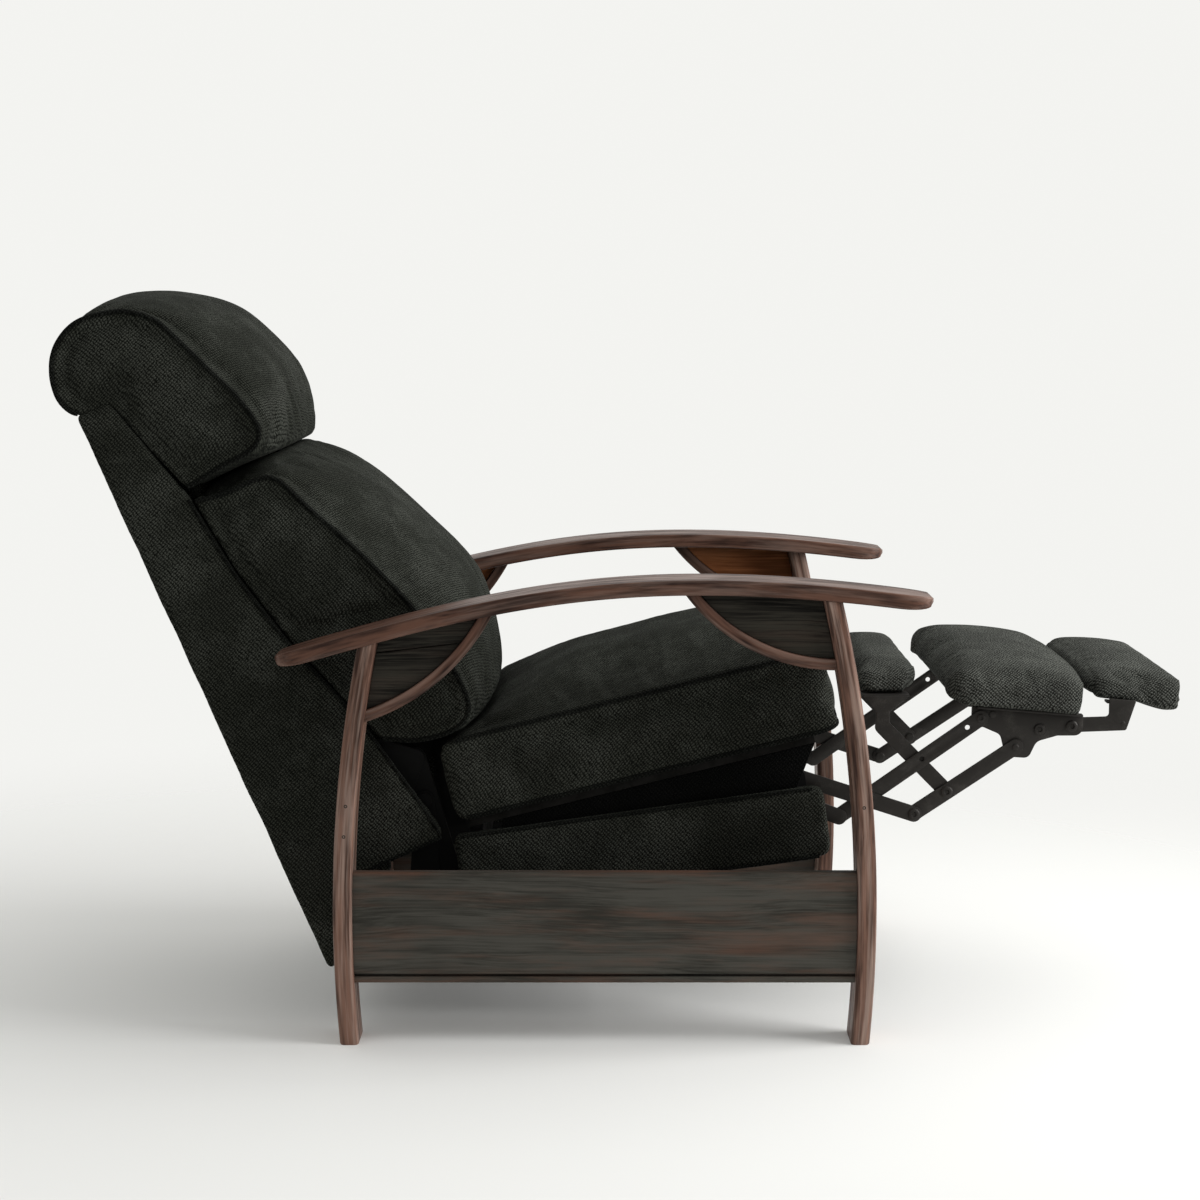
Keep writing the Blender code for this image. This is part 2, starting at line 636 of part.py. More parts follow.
def seat(chair):
    """Seat box, deck, cushion, and the steel plates that the linkage hangs on."""
    deck_front = CUSHION_LENGTH - 2 * DECK_SETBACK
    under = -SEAT_GAP - DECK_THICKNESS
    deck = [cushion_point(*p) for p in (
        (DECK_SETBACK, -SEAT_GAP), (deck_front, -SEAT_GAP), (deck_front, under), (DECK_SETBACK, under))]
    riser_outer = RAIL_INNER + RISER_THICKNESS
    chair.prism("seat_deck", "seat", "dark_wood", deck, -riser_outer, riser_outer)

    corner = RAIL_CORNER
    box = [(*rail_point(s, n), r) for s, n, r in (
        (0, 0, corner / 2), (RAIL_LENGTH, 0, corner), (RAIL_LENGTH, RAIL_HEIGHT, corner), (0, RAIL_HEIGHT, corner / 2))]
    riser = [rail_point(RAIL_LENGTH * 0.13, RAIL_HEIGHT - corner), rail_point(RAIL_LENGTH * 0.94, RAIL_HEIGHT - corner)]
    riser += [cushion_point(s, under - SEAT_GAP) for s in (deck_front, RAIL_LENGTH * 0.13)]
    for side, word in SIDES:
        joined = ((riser, *spread(side, (RAIL_INNER, riser_outer))),)
        span = spread(side, (RAIL_INNER, RAIL_INNER + RAIL_THICKNESS))
        chair.prism(word + "_seat_rail", "seat", "fabric", filleted(box), *span, joined=joined)
        seat_plate(chair, side, word)

    profiles = []
    for crown, nose, radius in ((0.0, 0.0, 0.016), (CUSHION_CROWN, 0.006, 0.055)):
        top = CUSHION_THICKNESS + crown
        dip = CUSHION_THICKNESS - crown * 0.4
        corners = [(0.0, 0.0, 0.022), (CUSHION_LENGTH + nose, 0.0, 0.022), (CUSHION_LENGTH + nose, top - crown * 0.2, radius)]
        corners += [(CUSHION_LENGTH * 0.62, top, 0), (CUSHION_LENGTH * 0.40, top - crown * 0.06, 0)]
        corners += [(CUSHION_LENGTH * 0.27, top - crown * 0.40, 0), (CUSHION_LENGTH * 0.15, top - crown * 0.95, 0)]
        corners += [(CUSHION_LENGTH * 0.09, dip + crown * 0.1, 0), (0.0, dip, 0.016)]
        profiles.append([cushion_point(*p) for p in filleted(corners, 4)])
    chair.loft("seat_cushion", "seat", "fabric", *profiles, SEAT_HALF, CUSHION_STATIONS)

    between = PLATE[0] - SEAT_GAP
    low = rail_point(0.006, 0.018)
    rail = [along(low, SEAT_TILT, s, n) for s, n in (
        (0, 0), (REAR_RAIL_THICKNESS, 0), (REAR_RAIL_THICKNESS, REAR_RAIL_HEIGHT), (0, REAR_RAIL_HEIGHT))]
    chair.prism("rear_seat_rail", "seat", "raw_wood", rail, -between, between)
    tube = (TUBE_X, strip_middle(TUBE_X))
    chair.prism("torque_tube", "seat", "steel", circle(tube, TUBE_RADIUS), -between, between)


def strip_middle(x):
    """Height of the middle of the seat plate's long strip."""
    return SEAT_PIVOT[1] + (x - SEAT_PIVOT[0]) * math.tan(math.radians(SEAT_TILT))


def seat_plate(chair, side, word):
    """Steel plate inside a seat rail: a strip with a lobe for the footrest links and an arm up to the back hinge."""
    span = spread(side, PLATE)
    ends = [(x, strip_middle(x)) for x in (PLATE_REAR, LOWER_PIVOT[0])]
    lobe_root = [(x, strip_middle(x)) for x in (CRANK_PIVOT[0] - STRIP_HALF, LOWER_PIVOT[0] + STRIP_HALF)]
    lobe = hull(circle(LOWER_PIVOT, BRACKET_HALF), circle(CRANK_PIVOT, BRACKET_HALF), lobe_root)
    arm_up = hull(circle(BACK_PIVOT, BRACKET_HALF), circle(ends[0], STRIP_HALF))
    reach = spread(side, (PLATE[1] - STEEL / 2, RAIL_INNER - SEAT_GAP))
    places = [PLATE_REAR + REAR_BOSS] + [LOWER_PIVOT[0] + shift for shift in FRONT_BOSSES]
    bosses = [(circle((x, strip_middle(x)), BOSS_RADIUS), *reach) for x in places]
    joined = [(lobe, *span), (arm_up, *span), *bosses]
    holes = [hole(side, pivot, PLATE) for pivot in (SEAT_PIVOT, BACK_PIVOT, LOWER_PIVOT, CRANK_PIVOT)]
    strip = capsule(*ends, STRIP_HALF)
    chair.prism(word + "_seat_plate", "seat", "steel", strip, *span, joined=joined, cut=holes)


def back(chair):
    """Outer back, upholstered side boards, cushions and the hinge brackets."""
    panel = [back_point(*p) for p in (
        (0, 0), (BACK_PANEL_HEIGHT, 0), (BACK_PANEL_HEIGHT, BACK_PANEL_THICKNESS), (0, BACK_PANEL_THICKNESS))]
    chair.prism("back_panel", "back", "fabric", panel, -SEAT_HALF, SEAT_HALF, bevel=0.003)
    rear = BACK_PANEL_THICKNESS + SEAT_GAP
    corners = [(0.0, rear, 0), (0.0, WING_FOOT_DEPTH, 0.008), (WING_SHOULDER, WING_FOOT_DEPTH, 0.02)]
    corners += [(WING_SHOULDER, WING_FRONT[0][1] - 0.004, 0.008), (*WING_FRONT[0], 0.008)]
    corners += [(u, v, 0) for u, v in WING_FRONT[1:]]
    corners += [(BACK_PANEL_HEIGHT, WING_TOP_DEPTH, 0.01), (BACK_PANEL_HEIGHT, rear, 0)]
    wing = filleted([(*back_point(u, v), r) for u, v, r in corners])
    for side, word in SIDES:
        chair.prism(word + "_back_wing", "back", "fabric", wing, *spread(side, (WING_INNER, SEAT_HALF)))
        back_bracket(chair, side, word)
    back_cushion(chair)
    head_cushion(chair)


def back_bracket(chair, side, word):
    """Steel plate that carries the back: it turns on the seat plate and is bolted to a wing."""
    bolts = [back_point(*spot) for spot in WING_BOLTS]
    outline = hull(*(circle(spot, BACK_BRACKET_HALF) for spot in (BACK_PIVOT, *bolts, BACK_LINK_PIN)))
    reach = spread(side, (LUG[1] - STEEL / 2, WING_INNER - SEAT_GAP))
    joined = [(circle(spot, BOSS_RADIUS), *reach) for spot in bolts]
    joined += inward_pin(side, BACK_PIVOT, LUG, PLATE)
    chair.prism(word + "_back_bracket", "back", "steel", outline, *spread(side, LUG), joined=joined)


def back_cushion(chair):
    """Lumbar cushion: flat against the wings, full in front."""
    rear = [(u, v + BACK_REST) for u, v in WING_FRONT[3:0:-1]]
    lofted(chair, "back_cushion", BACK_CUSHION, rear)


def head_cushion(chair):
    """Head cushion that rolls over the top of the back."""
    top = BACK_PANEL_HEIGHT + BACK_REST
    lofted(chair, "head_cushion", HEAD_CUSHION, ((top, HEAD_REST), (top, WING_TOP_DEPTH), HEAD_SLOPE))


def lofted(chair, name, front, rear):
    """Cushion of the back: smooth through pairs of edge and crown points, straight where it rests on the back."""
    profiles = []
    for which in (0, 1):
        points = [back_point(*pair[which]) for pair in front]
        profiles.append(smooth_curve(points) + [back_point(*p) for p in rear])
    chair.loft(name, "back", "fabric", *profiles, SEAT_HALF, CUSHION_STATIONS)


def pinned(side, centre, link, through, head_outside):
    """Rivet fused to a link: it passes through the next layer outwards, headed there or flush with it."""
    parts = [(circle(centre, PIN_RADIUS), *spread(side, (link[0] + STEEL / 2, through[1])))]
    if head_outside:
        parts[0] = (circle(centre, PIN_RADIUS), *spread(side, (link[0] + STEEL / 2, through[1] + PIN_PLAY * 2)))
        near = through[1] + PIN_PLAY
        parts.append((circle(centre, HEAD_RADIUS), *spread(side, (near, near + HEAD_HEIGHT))))
    return parts


def hole(side, centre, link):
    """Pivot hole through a link."""
    return circle(centre, PIN_RADIUS + PIN_PLAY), *spread(side, (link[0] - STEEL, link[1] + STEEL))


def flange(side, rear, pitch, first, last, near, far):
    """Turned-over edge of a bracket, flat under a board."""
    corners = ((first, -SEAT_GAP - FLANGE), (last, -SEAT_GAP - FLANGE), (last, -SEAT_GAP), (first, -SEAT_GAP))
    return [along(rear, pitch, s, n) for s, n in corners], *spread(side, (near, far))


def linkage(chair):
    """Footrest links of both sides, from the seat plates out to the footrest brackets."""
    span = math.dist(CARRIER_TAIL, CARRIER_TIP)
    share = CROSS_PIN_FROM_TAIL / span
    cross_pin = tuple(a + (b - a) * share for a, b in zip(CARRIER_TAIL, CARRIER_TIP))
    chair.body("lower_links", "seat", LOWER_PIVOT)
    chair.body("cranks", "seat", CRANK_PIVOT)
    chair.body("carriers", "lower_links", CARRIER_TAIL)
    chair.body("cross_links", "carriers", cross_pin)
    chair.body("footrest", "carriers", CARRIER_TIP)
    chair.body("long_links", "footrest", LONG_TIP)
    chair.body("toe_flap", "footrest", TOE_PIVOT)
    for side, word in SIDES:
        chair.prism(
            word + "_lower_link", "lower_links", "steel", capsule(LOWER_PIVOT, CARRIER_TAIL, LINK_HALF),
            *spread(side, LINK_1), joined=pinned(side, LOWER_PIVOT, LINK_1, PLATE, True),
            cut=(hole(side, CARRIER_TAIL, LINK_1),))
        chair.prism(
            word + "_crank", "cranks", "steel", capsule(CRANK_PIVOT, LONG_TAIL, LINK_HALF),
            *spread(side, LINK_1), joined=pinned(side, CRANK_PIVOT, LINK_1, PLATE, True))
        chair.prism(
            word + "_carrier_link", "carriers", "steel", capsule(CARRIER_TAIL, CARRIER_TIP, LINK_HALF),
            *spread(side, LINK_2), joined=pinned(side, CARRIER_TAIL, LINK_2, LINK_1, False),
            cut=(hole(side, cross_pin, LINK_2), hole(side, CARRIER_TIP, LINK_2)))
        cross_link(chair, side, word, cross_pin)
        footrest_bracket(chair, side, word)
        chair.prism(
            word + "_long_link", "long_links", "steel", capsule(LONG_TAIL, LONG_TIP, LINK_HALF),
            *spread(side, LINK_2), joined=inward_pin(side, LONG_TIP, LINK_2, LINK_3))
        toe_arm(chair, side, word)


def inward_pin(side, centre, link, through):
    """Rivet fused to a link that passes through the next layer inwards and is headed there."""
    far = through[0] - PIN_PLAY
    return ((circle(centre, PIN_RADIUS), *spread(side, (far - HEAD_HEIGHT / 2, link[0] + STEEL / 2))),
            (circle(centre, HEAD_RADIUS), *spread(side, (far - HEAD_HEIGHT, far))))


def cross_link(chair, side, word, pin):
    """Cross link: a cranked bar with a flange that carries the middle pad."""
    span = spread(side, LINK_3)
    board = MID_BOARD_REAR, MID_PITCH
    ends = [along(*board, s, -SEAT_GAP - FLANGE / 2) for s in MID_FLANGE]
    neck = CROSS_KNEE[0], ends[0][1] - NECK_DROP
    joined = [
        *pinned(side, pin, LINK_3, LINK_2, False),
        (capsule(CROSS_KNEE, neck, CROSS_NECK / 2), *span),
        (hull(ends, circle(neck, CROSS_NECK / 2)), *span),
        flange(side, *board, *MID_FLANGE, LINK_3[0] - MID_FLANGE_REACH, LINK_3[1])]
    bar = capsule(CROSS_KNEE, pin, LINK_HALF)
    chair.prism(word + "_cross_link", "cross_links", "steel", bar, *span, joined=joined)


def footrest_bracket(chair, side, word):
    """Footrest bracket under the main board, with a nose for the carrier link and a lobe for the toe arm."""
    span = spread(side, LINK_3)
    board = MAIN_BOARD_REAR, MAIN_PITCH
    rear, middle, front = (along(*board, s, -SEAT_GAP - FLANGE / 2) for s in (MAIN_FLANGE[0], BRACKET_SPLIT, MAIN_FLANGE[1]))
    bolt = circle(BRACKET_BOLT, BOSS_RADIUS)
    nose = hull((rear, middle), bolt, circle(LONG_TIP, BRACKET_HALF), circle(CARRIER_TIP, BRACKET_HALF))
    lobe = hull((middle, front), circle(BRACKET_BOLT, BRACKET_HALF), circle(TOE_PIVOT, BRACKET_HALF))
    joined = [
        *pinned(side, CARRIER_TIP, LINK_3, LINK_2, False), (lobe, *span),
        flange(side, *board, *MAIN_FLANGE, LINK_3[0], LINK_3[1] + FLANGE_REACH)]
    cut = (hole(side, LONG_TIP, LINK_3), hole(side, TOE_PIVOT, LINK_3))
    chair.prism(word + "_footrest_bracket", "footrest", "steel", nose, *span, joined=joined, cut=cut)


def toe_arm(chair, side, word):
    """Arm that swings the toe pad out in front of the main pad."""
    span = spread(side, LINK_4)
    board = TOE_BOARD_REAR, TOE_PITCH
    ends = [along(*board, s, -SEAT_GAP - FLANGE / 2) for s in TOE_FLANGE]
    knee = TOE_PIVOT[0] + TOE_ARM_REACH, TOE_PIVOT[1]
    outer = LINK_3[1] + PIN_PLAY
    joined = [
        (hull(ends, circle(knee, TOE_ARM_HALF)), *span),
        (circle(TOE_PIVOT, PIN_RADIUS), *spread(side, (LINK_4[0] + STEEL / 2, outer + HEAD_HEIGHT / 2))),
        (circle(TOE_PIVOT, HEAD_RADIUS), *spread(side, (outer, outer + HEAD_HEIGHT))),
        flange(side, *board, *TOE_FLANGE, LINK_4[0] - FLANGE_REACH, LINK_4[1])]
    bar = capsule(TOE_PIVOT, knee, TOE_ARM_HALF)
    chair.prism(word + "_toe_arm", "toe_flap", "steel", bar, *span, joined=joined)


def pads(chair):
    """Boards and pads of the footrest."""
    for word, body, rear, length, pitch, half, thickness, crown, board in (
            ("footrest", "footrest", MAIN_BOARD_REAR, MAIN_BOARD_LENGTH, MAIN_PITCH, MAIN_HALF, MAIN_THICKNESS,
             MAIN_CROWN, MAIN_BOARD),
            ("toe", "toe_flap", TOE_BOARD_REAR, TOE_BOARD_LENGTH, TOE_PITCH, TOE_HALF, TOE_THICKNESS, TOE_CROWN, TOE_BOARD),
            ("middle", "cross_links", MID_BOARD_REAR, MID_BOARD_LENGTH, MID_PITCH, MID_HALF, MID_THICKNESS, MID_CROWN,
             MID_BOARD)):
        corners = ((BOARD_INSET, 0), (length - BOARD_INSET, 0), (length - BOARD_INSET, board), (BOARD_INSET, board))
        outline = [along(rear, pitch, s, n) for s, n in corners]
        chair.prism(word + "_board", body, "fabric", outline, -half + BOARD_INSET, half - BOARD_INSET)
        low = board + SEAT_GAP
        edge = box_profile(rear, pitch, PAD_CORNER, length - PAD_CORNER, low, low + thickness, 0.008, 0.010)
        full = box_profile(rear, pitch, 0.0, length, low, low + thickness + crown, 0.010, min(0.030, thickness))
        chair.loft(word + "_pad", body, "fabric", edge, full, half, PAD_STATIONS)


def recline_links(chair):
    """Short links that tie the back brackets to the base rails."""
    foot = recline_link_foot()
    chair.body("recline_links", "frame", foot)
    for side, word in SIDES:
        pin = (circle(foot, PIN_RADIUS), *spread(side, (LUG[0], RECLINE_LAYER[0] + STEEL / 2)))
        chair.prism(
            word + "_recline_link", "recline_links", "steel", capsule(foot, BACK_LINK_PIN, LINK_HALF),
            *spread(side, RECLINE_LAYER), joined=(pin,))


def main():
    """Build the whole chair."""
    chair = Assembly()
    chair.body("seat", "frame", SEAT_PIVOT)
    chair.body("back", "seat", BACK_PIVOT)
    side_frames(chair)
    base(chair)
    seat(chair)
    back(chair)
    recline_links(chair)
    linkage(chair)
    pads(chair)


main()
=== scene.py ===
"""Looks of a bow-arm push-back recliner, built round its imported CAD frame."""

import json
import logging
import math
from dataclasses import dataclass, field
from enum import Enum
from typing import Any, Callable, Iterable, Optional, Sequence, Union

import bmesh
import bpy
import numpy as np
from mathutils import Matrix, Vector, noise
from mathutils.bvhtree import BVHTree
from mathutils.geometry import delaunay_2d_cdt
from mathutils.kdtree import KDTree

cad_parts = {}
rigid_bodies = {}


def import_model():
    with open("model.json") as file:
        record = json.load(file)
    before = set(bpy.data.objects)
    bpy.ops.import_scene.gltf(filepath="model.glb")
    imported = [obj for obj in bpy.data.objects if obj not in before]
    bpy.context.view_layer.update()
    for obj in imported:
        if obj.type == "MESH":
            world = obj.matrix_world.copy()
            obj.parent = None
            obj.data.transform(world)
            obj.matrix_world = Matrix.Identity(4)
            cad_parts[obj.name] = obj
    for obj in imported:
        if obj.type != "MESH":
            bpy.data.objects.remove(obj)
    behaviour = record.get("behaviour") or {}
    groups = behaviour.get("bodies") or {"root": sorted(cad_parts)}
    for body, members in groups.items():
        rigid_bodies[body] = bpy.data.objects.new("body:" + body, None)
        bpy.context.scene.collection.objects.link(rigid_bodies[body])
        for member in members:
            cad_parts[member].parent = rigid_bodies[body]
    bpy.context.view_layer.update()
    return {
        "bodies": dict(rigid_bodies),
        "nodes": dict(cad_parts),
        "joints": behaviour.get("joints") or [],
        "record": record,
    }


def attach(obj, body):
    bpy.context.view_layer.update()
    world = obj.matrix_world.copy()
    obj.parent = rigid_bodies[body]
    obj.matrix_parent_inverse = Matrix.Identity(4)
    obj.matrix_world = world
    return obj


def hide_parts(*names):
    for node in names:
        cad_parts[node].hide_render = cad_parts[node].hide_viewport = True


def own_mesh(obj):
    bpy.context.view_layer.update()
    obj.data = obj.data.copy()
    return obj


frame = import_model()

LOG = logging.getLogger("recliner")
CENTRE_X = 0.009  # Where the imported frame's origin lies in the side view
SHARP_ANGLE = math.radians(38)
PLATE_EASE = 0.0006

# Rear lower corner and pitch of each footrest board, in the side view
MAIN_BOARD = ((0.4660, 0.452), -4.6)
TOE_BOARD = ((0.6730, 0.4545), -5.0)
MIDDLE_BOARD = ((0.3450, 0.4625), 0.0)

Point = tuple[float, float]
Outline = list[Point]
Span = tuple[float, float]
Colour = tuple[float, float, float]


class Side(Enum):
    """Side of the chair, by the sign of its distance along Y."""

    RIGHT = -1
    LEFT = 1

    @property
    def word(self) -> str:
        """First word of this side's piece names."""
        return self.name.lower()

    def span(self, low: float, high: float) -> Span:
        """Distances along Y of a span measured outwards from the centre plane."""
        return (self.value * low, self.value * high)


class Body(Enum):
    """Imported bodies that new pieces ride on."""

    FRAME = "frame"
    SEAT = "seat"
    BACK = "back"
    LOWER_LINKS = "lower_links"
    CRANKS = "cranks"
    CARRIERS = "carriers"
    CROSS_LINKS = "cross_links"
    FOOTREST = "footrest"
    LONG_LINKS = "long_links"
    TOE_FLAP = "toe_flap"


class Slot(Enum):
    """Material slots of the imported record."""

    WOOD = "wood"
    DARK_WOOD = "dark_wood"
    FABRIC = "fabric"
    STEEL = "steel"


class Grain(Enum):
    """What a timber's grain follows."""

    CARVED = "grain"
    CROSSWISE = "Y"


# Points of the side view

def tilted(start: Point, degrees: float, s: float, n: float = 0.0) -> Point:
    """Point beside a sloping line.

    Args:
        start: Where the line begins.
        degrees: Its slope.
        s: Distance along it.
        n: Distance above it.

    Returns:
        The point's x and z.
    """
    c, d = math.cos(math.radians(degrees)), math.sin(math.radians(degrees))
    return start[0] + s * c - n * d, start[1] + s * d + n * c


def part_way(a: Point, b: Point, share: float) -> Point:
    """Point part of the way from one point to another."""
    return a[0] + (b[0] - a[0]) * share, a[1] + (b[1] - a[1]) * share


def area(outline: Outline) -> float:
    """Twice an outline's area, below nought where it runs clockwise."""
    return sum(p[0] * q[1] - q[0] * p[1] for p, q in zip(outline, outline[1:] + outline[:1]))


def last_true(test: Callable[[float], bool], low: float, high: float) -> float:
    """Number where a test stops being true.

    Args:
        test: Test of a number, true at the low end and false at the high end.
        low: Lowest number.
        high: Highest number.

    Returns:
        The number, by halving.
    """
    for _ in range(40):
        middle = (low + high) / 2
        low, high = (middle, high) if test(middle) else (low, middle)
    return low


def rounded(corners: Sequence[tuple[float, float, float]], steps: int = 5) -> Outline:
    """Outline with rounded corners.

    Args:
        corners: x, z and radius of each corner.
        steps: Facets of each rounding.

    Returns:
        The outline's points.
    """
    outline: Outline = []
    for i, (x, z, radius) in enumerate(corners):
        here = Vector((x, z))
        before = (Vector(corners[i - 1][:2]) - here).normalized()
        after = (Vector(corners[(i + 1) % len(corners)][:2]) - here).normalized()
        half = before.angle(after) / 2
        if radius <= 0 or half > math.radians(88):
            outline.append((x, z))
            continue
        reach = radius / math.tan(half)
        centre = here + (before + after).normalized() * (radius / math.sin(half))
        start, end = here + before * reach - centre, here + after * reach - centre
        sweep = start.angle_signed(end)
        for k in range(steps + 1):
            c, s = math.cos(-sweep * k / steps), math.sin(-sweep * k / steps)
            outline.append((centre.x + start.x * c - start.y * s, centre.y + start.x * s + start.y * c))
    return outline


def circle(centre: Point, radius: float, count: int = 24) -> Outline:
    """Round outline."""
    angles = [2 * math.pi * k / count for k in range(count)]
    return [(centre[0] + radius * math.cos(a), centre[1] + radius * math.sin(a)) for a in angles]


def hull(*groups: Iterable[Point]) -> Outline:
    """Convex outline round groups of points.

    Args:
        groups: Points that the outline holds.

    Returns:
        The outline's points.
    """
    ordered = sorted({point for group in groups for point in group})
    outline: Outline = []
    for sequence in (ordered, ordered[::-1]):
        chain: Outline = []
        for x, z in sequence:
            while len(chain) > 1:
                (ax, az), (bx, bz) = chain[-2:]
                if (bx - ax) * (z - az) - (bz - az) * (x - ax) > 0:
                    break
                chain.pop()
            chain.append((x, z))
        outline += chain[:-1]
    return outline


def capsule(start: Point, end: Point, half: float) -> Outline:
    """Straight link with round ends."""
    return hull(circle(start, half), circle(end, half))


def smooth(points: Sequence[Point], parts: int = 4) -> Outline:
    """Smooth open curve through points.

    Args:
        points: Points that it passes.
        parts: Pieces between each two points.

    Returns:
        The curve's points.
    """
    curve: Outline = []
    last = len(points) - 1
    for i in range(last):
        a, b, c, d = (Vector(points[min(max(i + shift, 0), last)]) for shift in (-1, 0, 1, 2))
        for k in range(parts):
            t = k / parts
            p = 0.5 * (2 * b + (c - a) * t + (2 * a - 5 * b + 4 * c - d) * t * t + (3 * b - a - 3 * c + d) * t ** 3)
            curve.append((p.x, p.y))
    curve.append(tuple(points[last]))
    return curve


def above_line(outline: Outline, one: Point, two: Point, keep_above: bool) -> Outline:
    """Part of an outline on one side of a line.

    Args:
        outline: Outline to cut.
        one: Point of the line.
        two: Second point of the line, with a greater x.
        keep_above: Whether the part above the line is kept.

    Returns:
        The cut outline.
    """
    sign = 1 if keep_above else -1

    def height(p: Point) -> float:
        """Signed height over the line."""
        return sign * ((two[0] - one[0]) * (p[1] - one[1]) - (two[1] - one[1]) * (p[0] - one[0]))

    cut: Outline = []
    for p, q in zip(outline, outline[1:] + outline[:1]):
        hp, hq = height(p), height(q)
        if hp >= 0:
            cut.append(p)
        if hp * hq < 0:
            cut.append(part_way(p, q, hp / (hp - hq)))
    return cut


# Shader expressions

class Value:
    """A number that varies over a surface. Arithmetic on it adds Math nodes to its tree."""

    def __init__(self, tree: "Tree", socket: bpy.types.NodeSocket) -> None:
        """Wrap a socket of a tree."""
        self.tree = tree
        self.socket = socket

    def maths(self, operation: str, *others: "Number", swapped: bool = False) -> "Value":
        """Add a Math node.

        Args:
            operation: The node's operation.
            others: Further operands.
            swapped: Whether the others come first.

        Returns:
            The node's result.
        """
        operands = (*others, self) if swapped else (self, *others)
        made = self.tree.node("ShaderNodeMath", {"operation": operation}, dict(enumerate(operands)))
        return Value(self.tree, made.outputs[0])

    def __add__(self, other: "Number") -> "Value":
        """Sum."""
        return self.maths("ADD", other)

    __radd__ = __add__

    def __sub__(self, other: "Number") -> "Value":
        """Difference."""
        return self.maths("SUBTRACT", other)

    def __rsub__(self, other: "Number") -> "Value":
        """Difference from a number."""
        return self.maths("SUBTRACT", other, swapped=True)

    def __mul__(self, other: "Number") -> "Value":
        """Product."""
        return self.maths("MULTIPLY", other)

    __rmul__ = __mul__

    def sine(self) -> "Value":
        """Sine of an angle in radians."""
        return self.maths("SINE")

    def between(self, low: float, high: float) -> "Value":
        """Smooth step from nought at low to one at high."""
        made = self.tree.node("ShaderNodeMapRange", {"interpolation_type": "SMOOTHSTEP"}, {0: self, 1: low, 2: high})
        return Value(self.tree, made.outputs[0])


Number = Union[Value, float]


class Tree:
    """Node tree of a material or a world, with one shader at its end."""

    def __init__(self, owner: Any, shader: str = "ShaderNodeBsdfPrincipled",
                 output: str = "ShaderNodeOutputMaterial") -> None:
        """Start an empty tree.

        Args:
            owner: Material or world that takes it.
            shader: Type of its shader.
            output: Type of its output.
        """
        self.owner = owner
        owner.use_nodes = True
        self.nodes = owner.node_tree.nodes
        self.nodes.clear()
        self.shader = self.node(shader)
        self.output = self.node(output)
        self.show(self.shader)

    def show(self, shader: bpy.types.Node) -> None:
        """Put a shader at the tree's end."""
        self.feed(self.output.inputs["Surface"], shader.outputs[0])

    def node(self, kind: str, settings: Optional[dict[str, Any]] = None,
             inputs: Optional[dict[Any, Any]] = None) -> bpy.types.Node:
        """Add a node.

        Args:
            kind: The node's type.
            settings: Its own settings, set first.
            inputs: Values or links of its sockets.

        Returns:
            The node.
        """
        made = self.nodes.new(kind)
        for name, value in (settings or {}).items():
            setattr(made, name, value)
        for key, value in (inputs or {}).items():
            self.feed(made.inputs[key], value)
        return made

    def feed(self, socket: bpy.types.NodeSocket, value: Any) -> None:
        """Link a socket, or set it to a constant.

        Args:
            socket: Socket that is fed.
            value: Value, socket or constant that feeds it.
        """
        source = value.socket if isinstance(value, Value) else value
        if isinstance(source, bpy.types.NodeSocket):
            self.owner.node_tree.links.new(source, socket)
        else:
            socket.default_value = source

    def surface(self, inputs: dict[str, Any]) -> Any:
        """Set the shader's sockets.

        Args:
            inputs: Values or links of the sockets.

        Returns:
            The material or world.
        """
        for key, value in inputs.items():
            self.feed(self.shader.inputs[key], value)
        return self.owner

    def split(self, vector: bpy.types.NodeSocket) -> tuple[Value, Value, Value]:
        """Three numbers of a vector."""
        x, y, z = self.node("ShaderNodeSeparateXYZ", inputs={0: vector}).outputs
        return Value(self, x), Value(self, y), Value(self, z)

    def join(self, x: Number, y: Number, z: Number) -> bpy.types.NodeSocket:
        """Vector of three numbers."""
        return self.node("ShaderNodeCombineXYZ", inputs={0: x, 1: y, 2: z}).outputs[0]

    def place(self, coordinates: str = "Object") -> bpy.types.NodeSocket:
        """Where a point is, in the object's own coordinates or others."""
        return self.node("ShaderNodeTexCoord").outputs[coordinates]

    def attribute(self, name: str, output: str) -> bpy.types.NodeSocket:
        """What a mesh says at a point."""
        return self.node("ShaderNodeAttribute", {"attribute_name": name}).outputs[output]

    def noise(self, vector: bpy.types.NodeSocket, scale: float, detail: float = 2.0, rough: float = 0.5) -> Value:
        """Noise from nought to one.

        Args:
            vector: Where it is read.
            scale: Cells per unit of the vector.
            detail: Octaves.
            rough: Weight of the finer octaves.

        Returns:
            The noise.
        """
        made = self.node("ShaderNodeTexNoise", inputs={
            "Vector": vector, "Scale": scale, "Detail": detail, "Roughness": rough})
        return Value(self, made.outputs[0])

    def mix(self, factor: Number, first: Any, second: Any) -> bpy.types.NodeSocket:
        """Colour between two colours.

        Args:
            factor: Share of the second.
            first: Colour or socket at nought.
            second: Colour or socket at one.

        Returns:
            The mixed colour.
        """
        colours = [(*c, 1.0) if isinstance(c, tuple) else c for c in (first, second)]
        made = self.node("ShaderNodeMix", {"data_type": "RGBA"}, {0: factor, 6: colours[0], 7: colours[1]})
        return made.outputs[2]

    def bump(self, height: Value, strength: float, distance: float) -> bpy.types.NodeSocket:
        """Normal of a surface raised by a height."""
        made = self.node("ShaderNodeBump", inputs={"Strength": strength, "Distance": distance, "Height": height})
        return made.outputs[0]


# Finishes

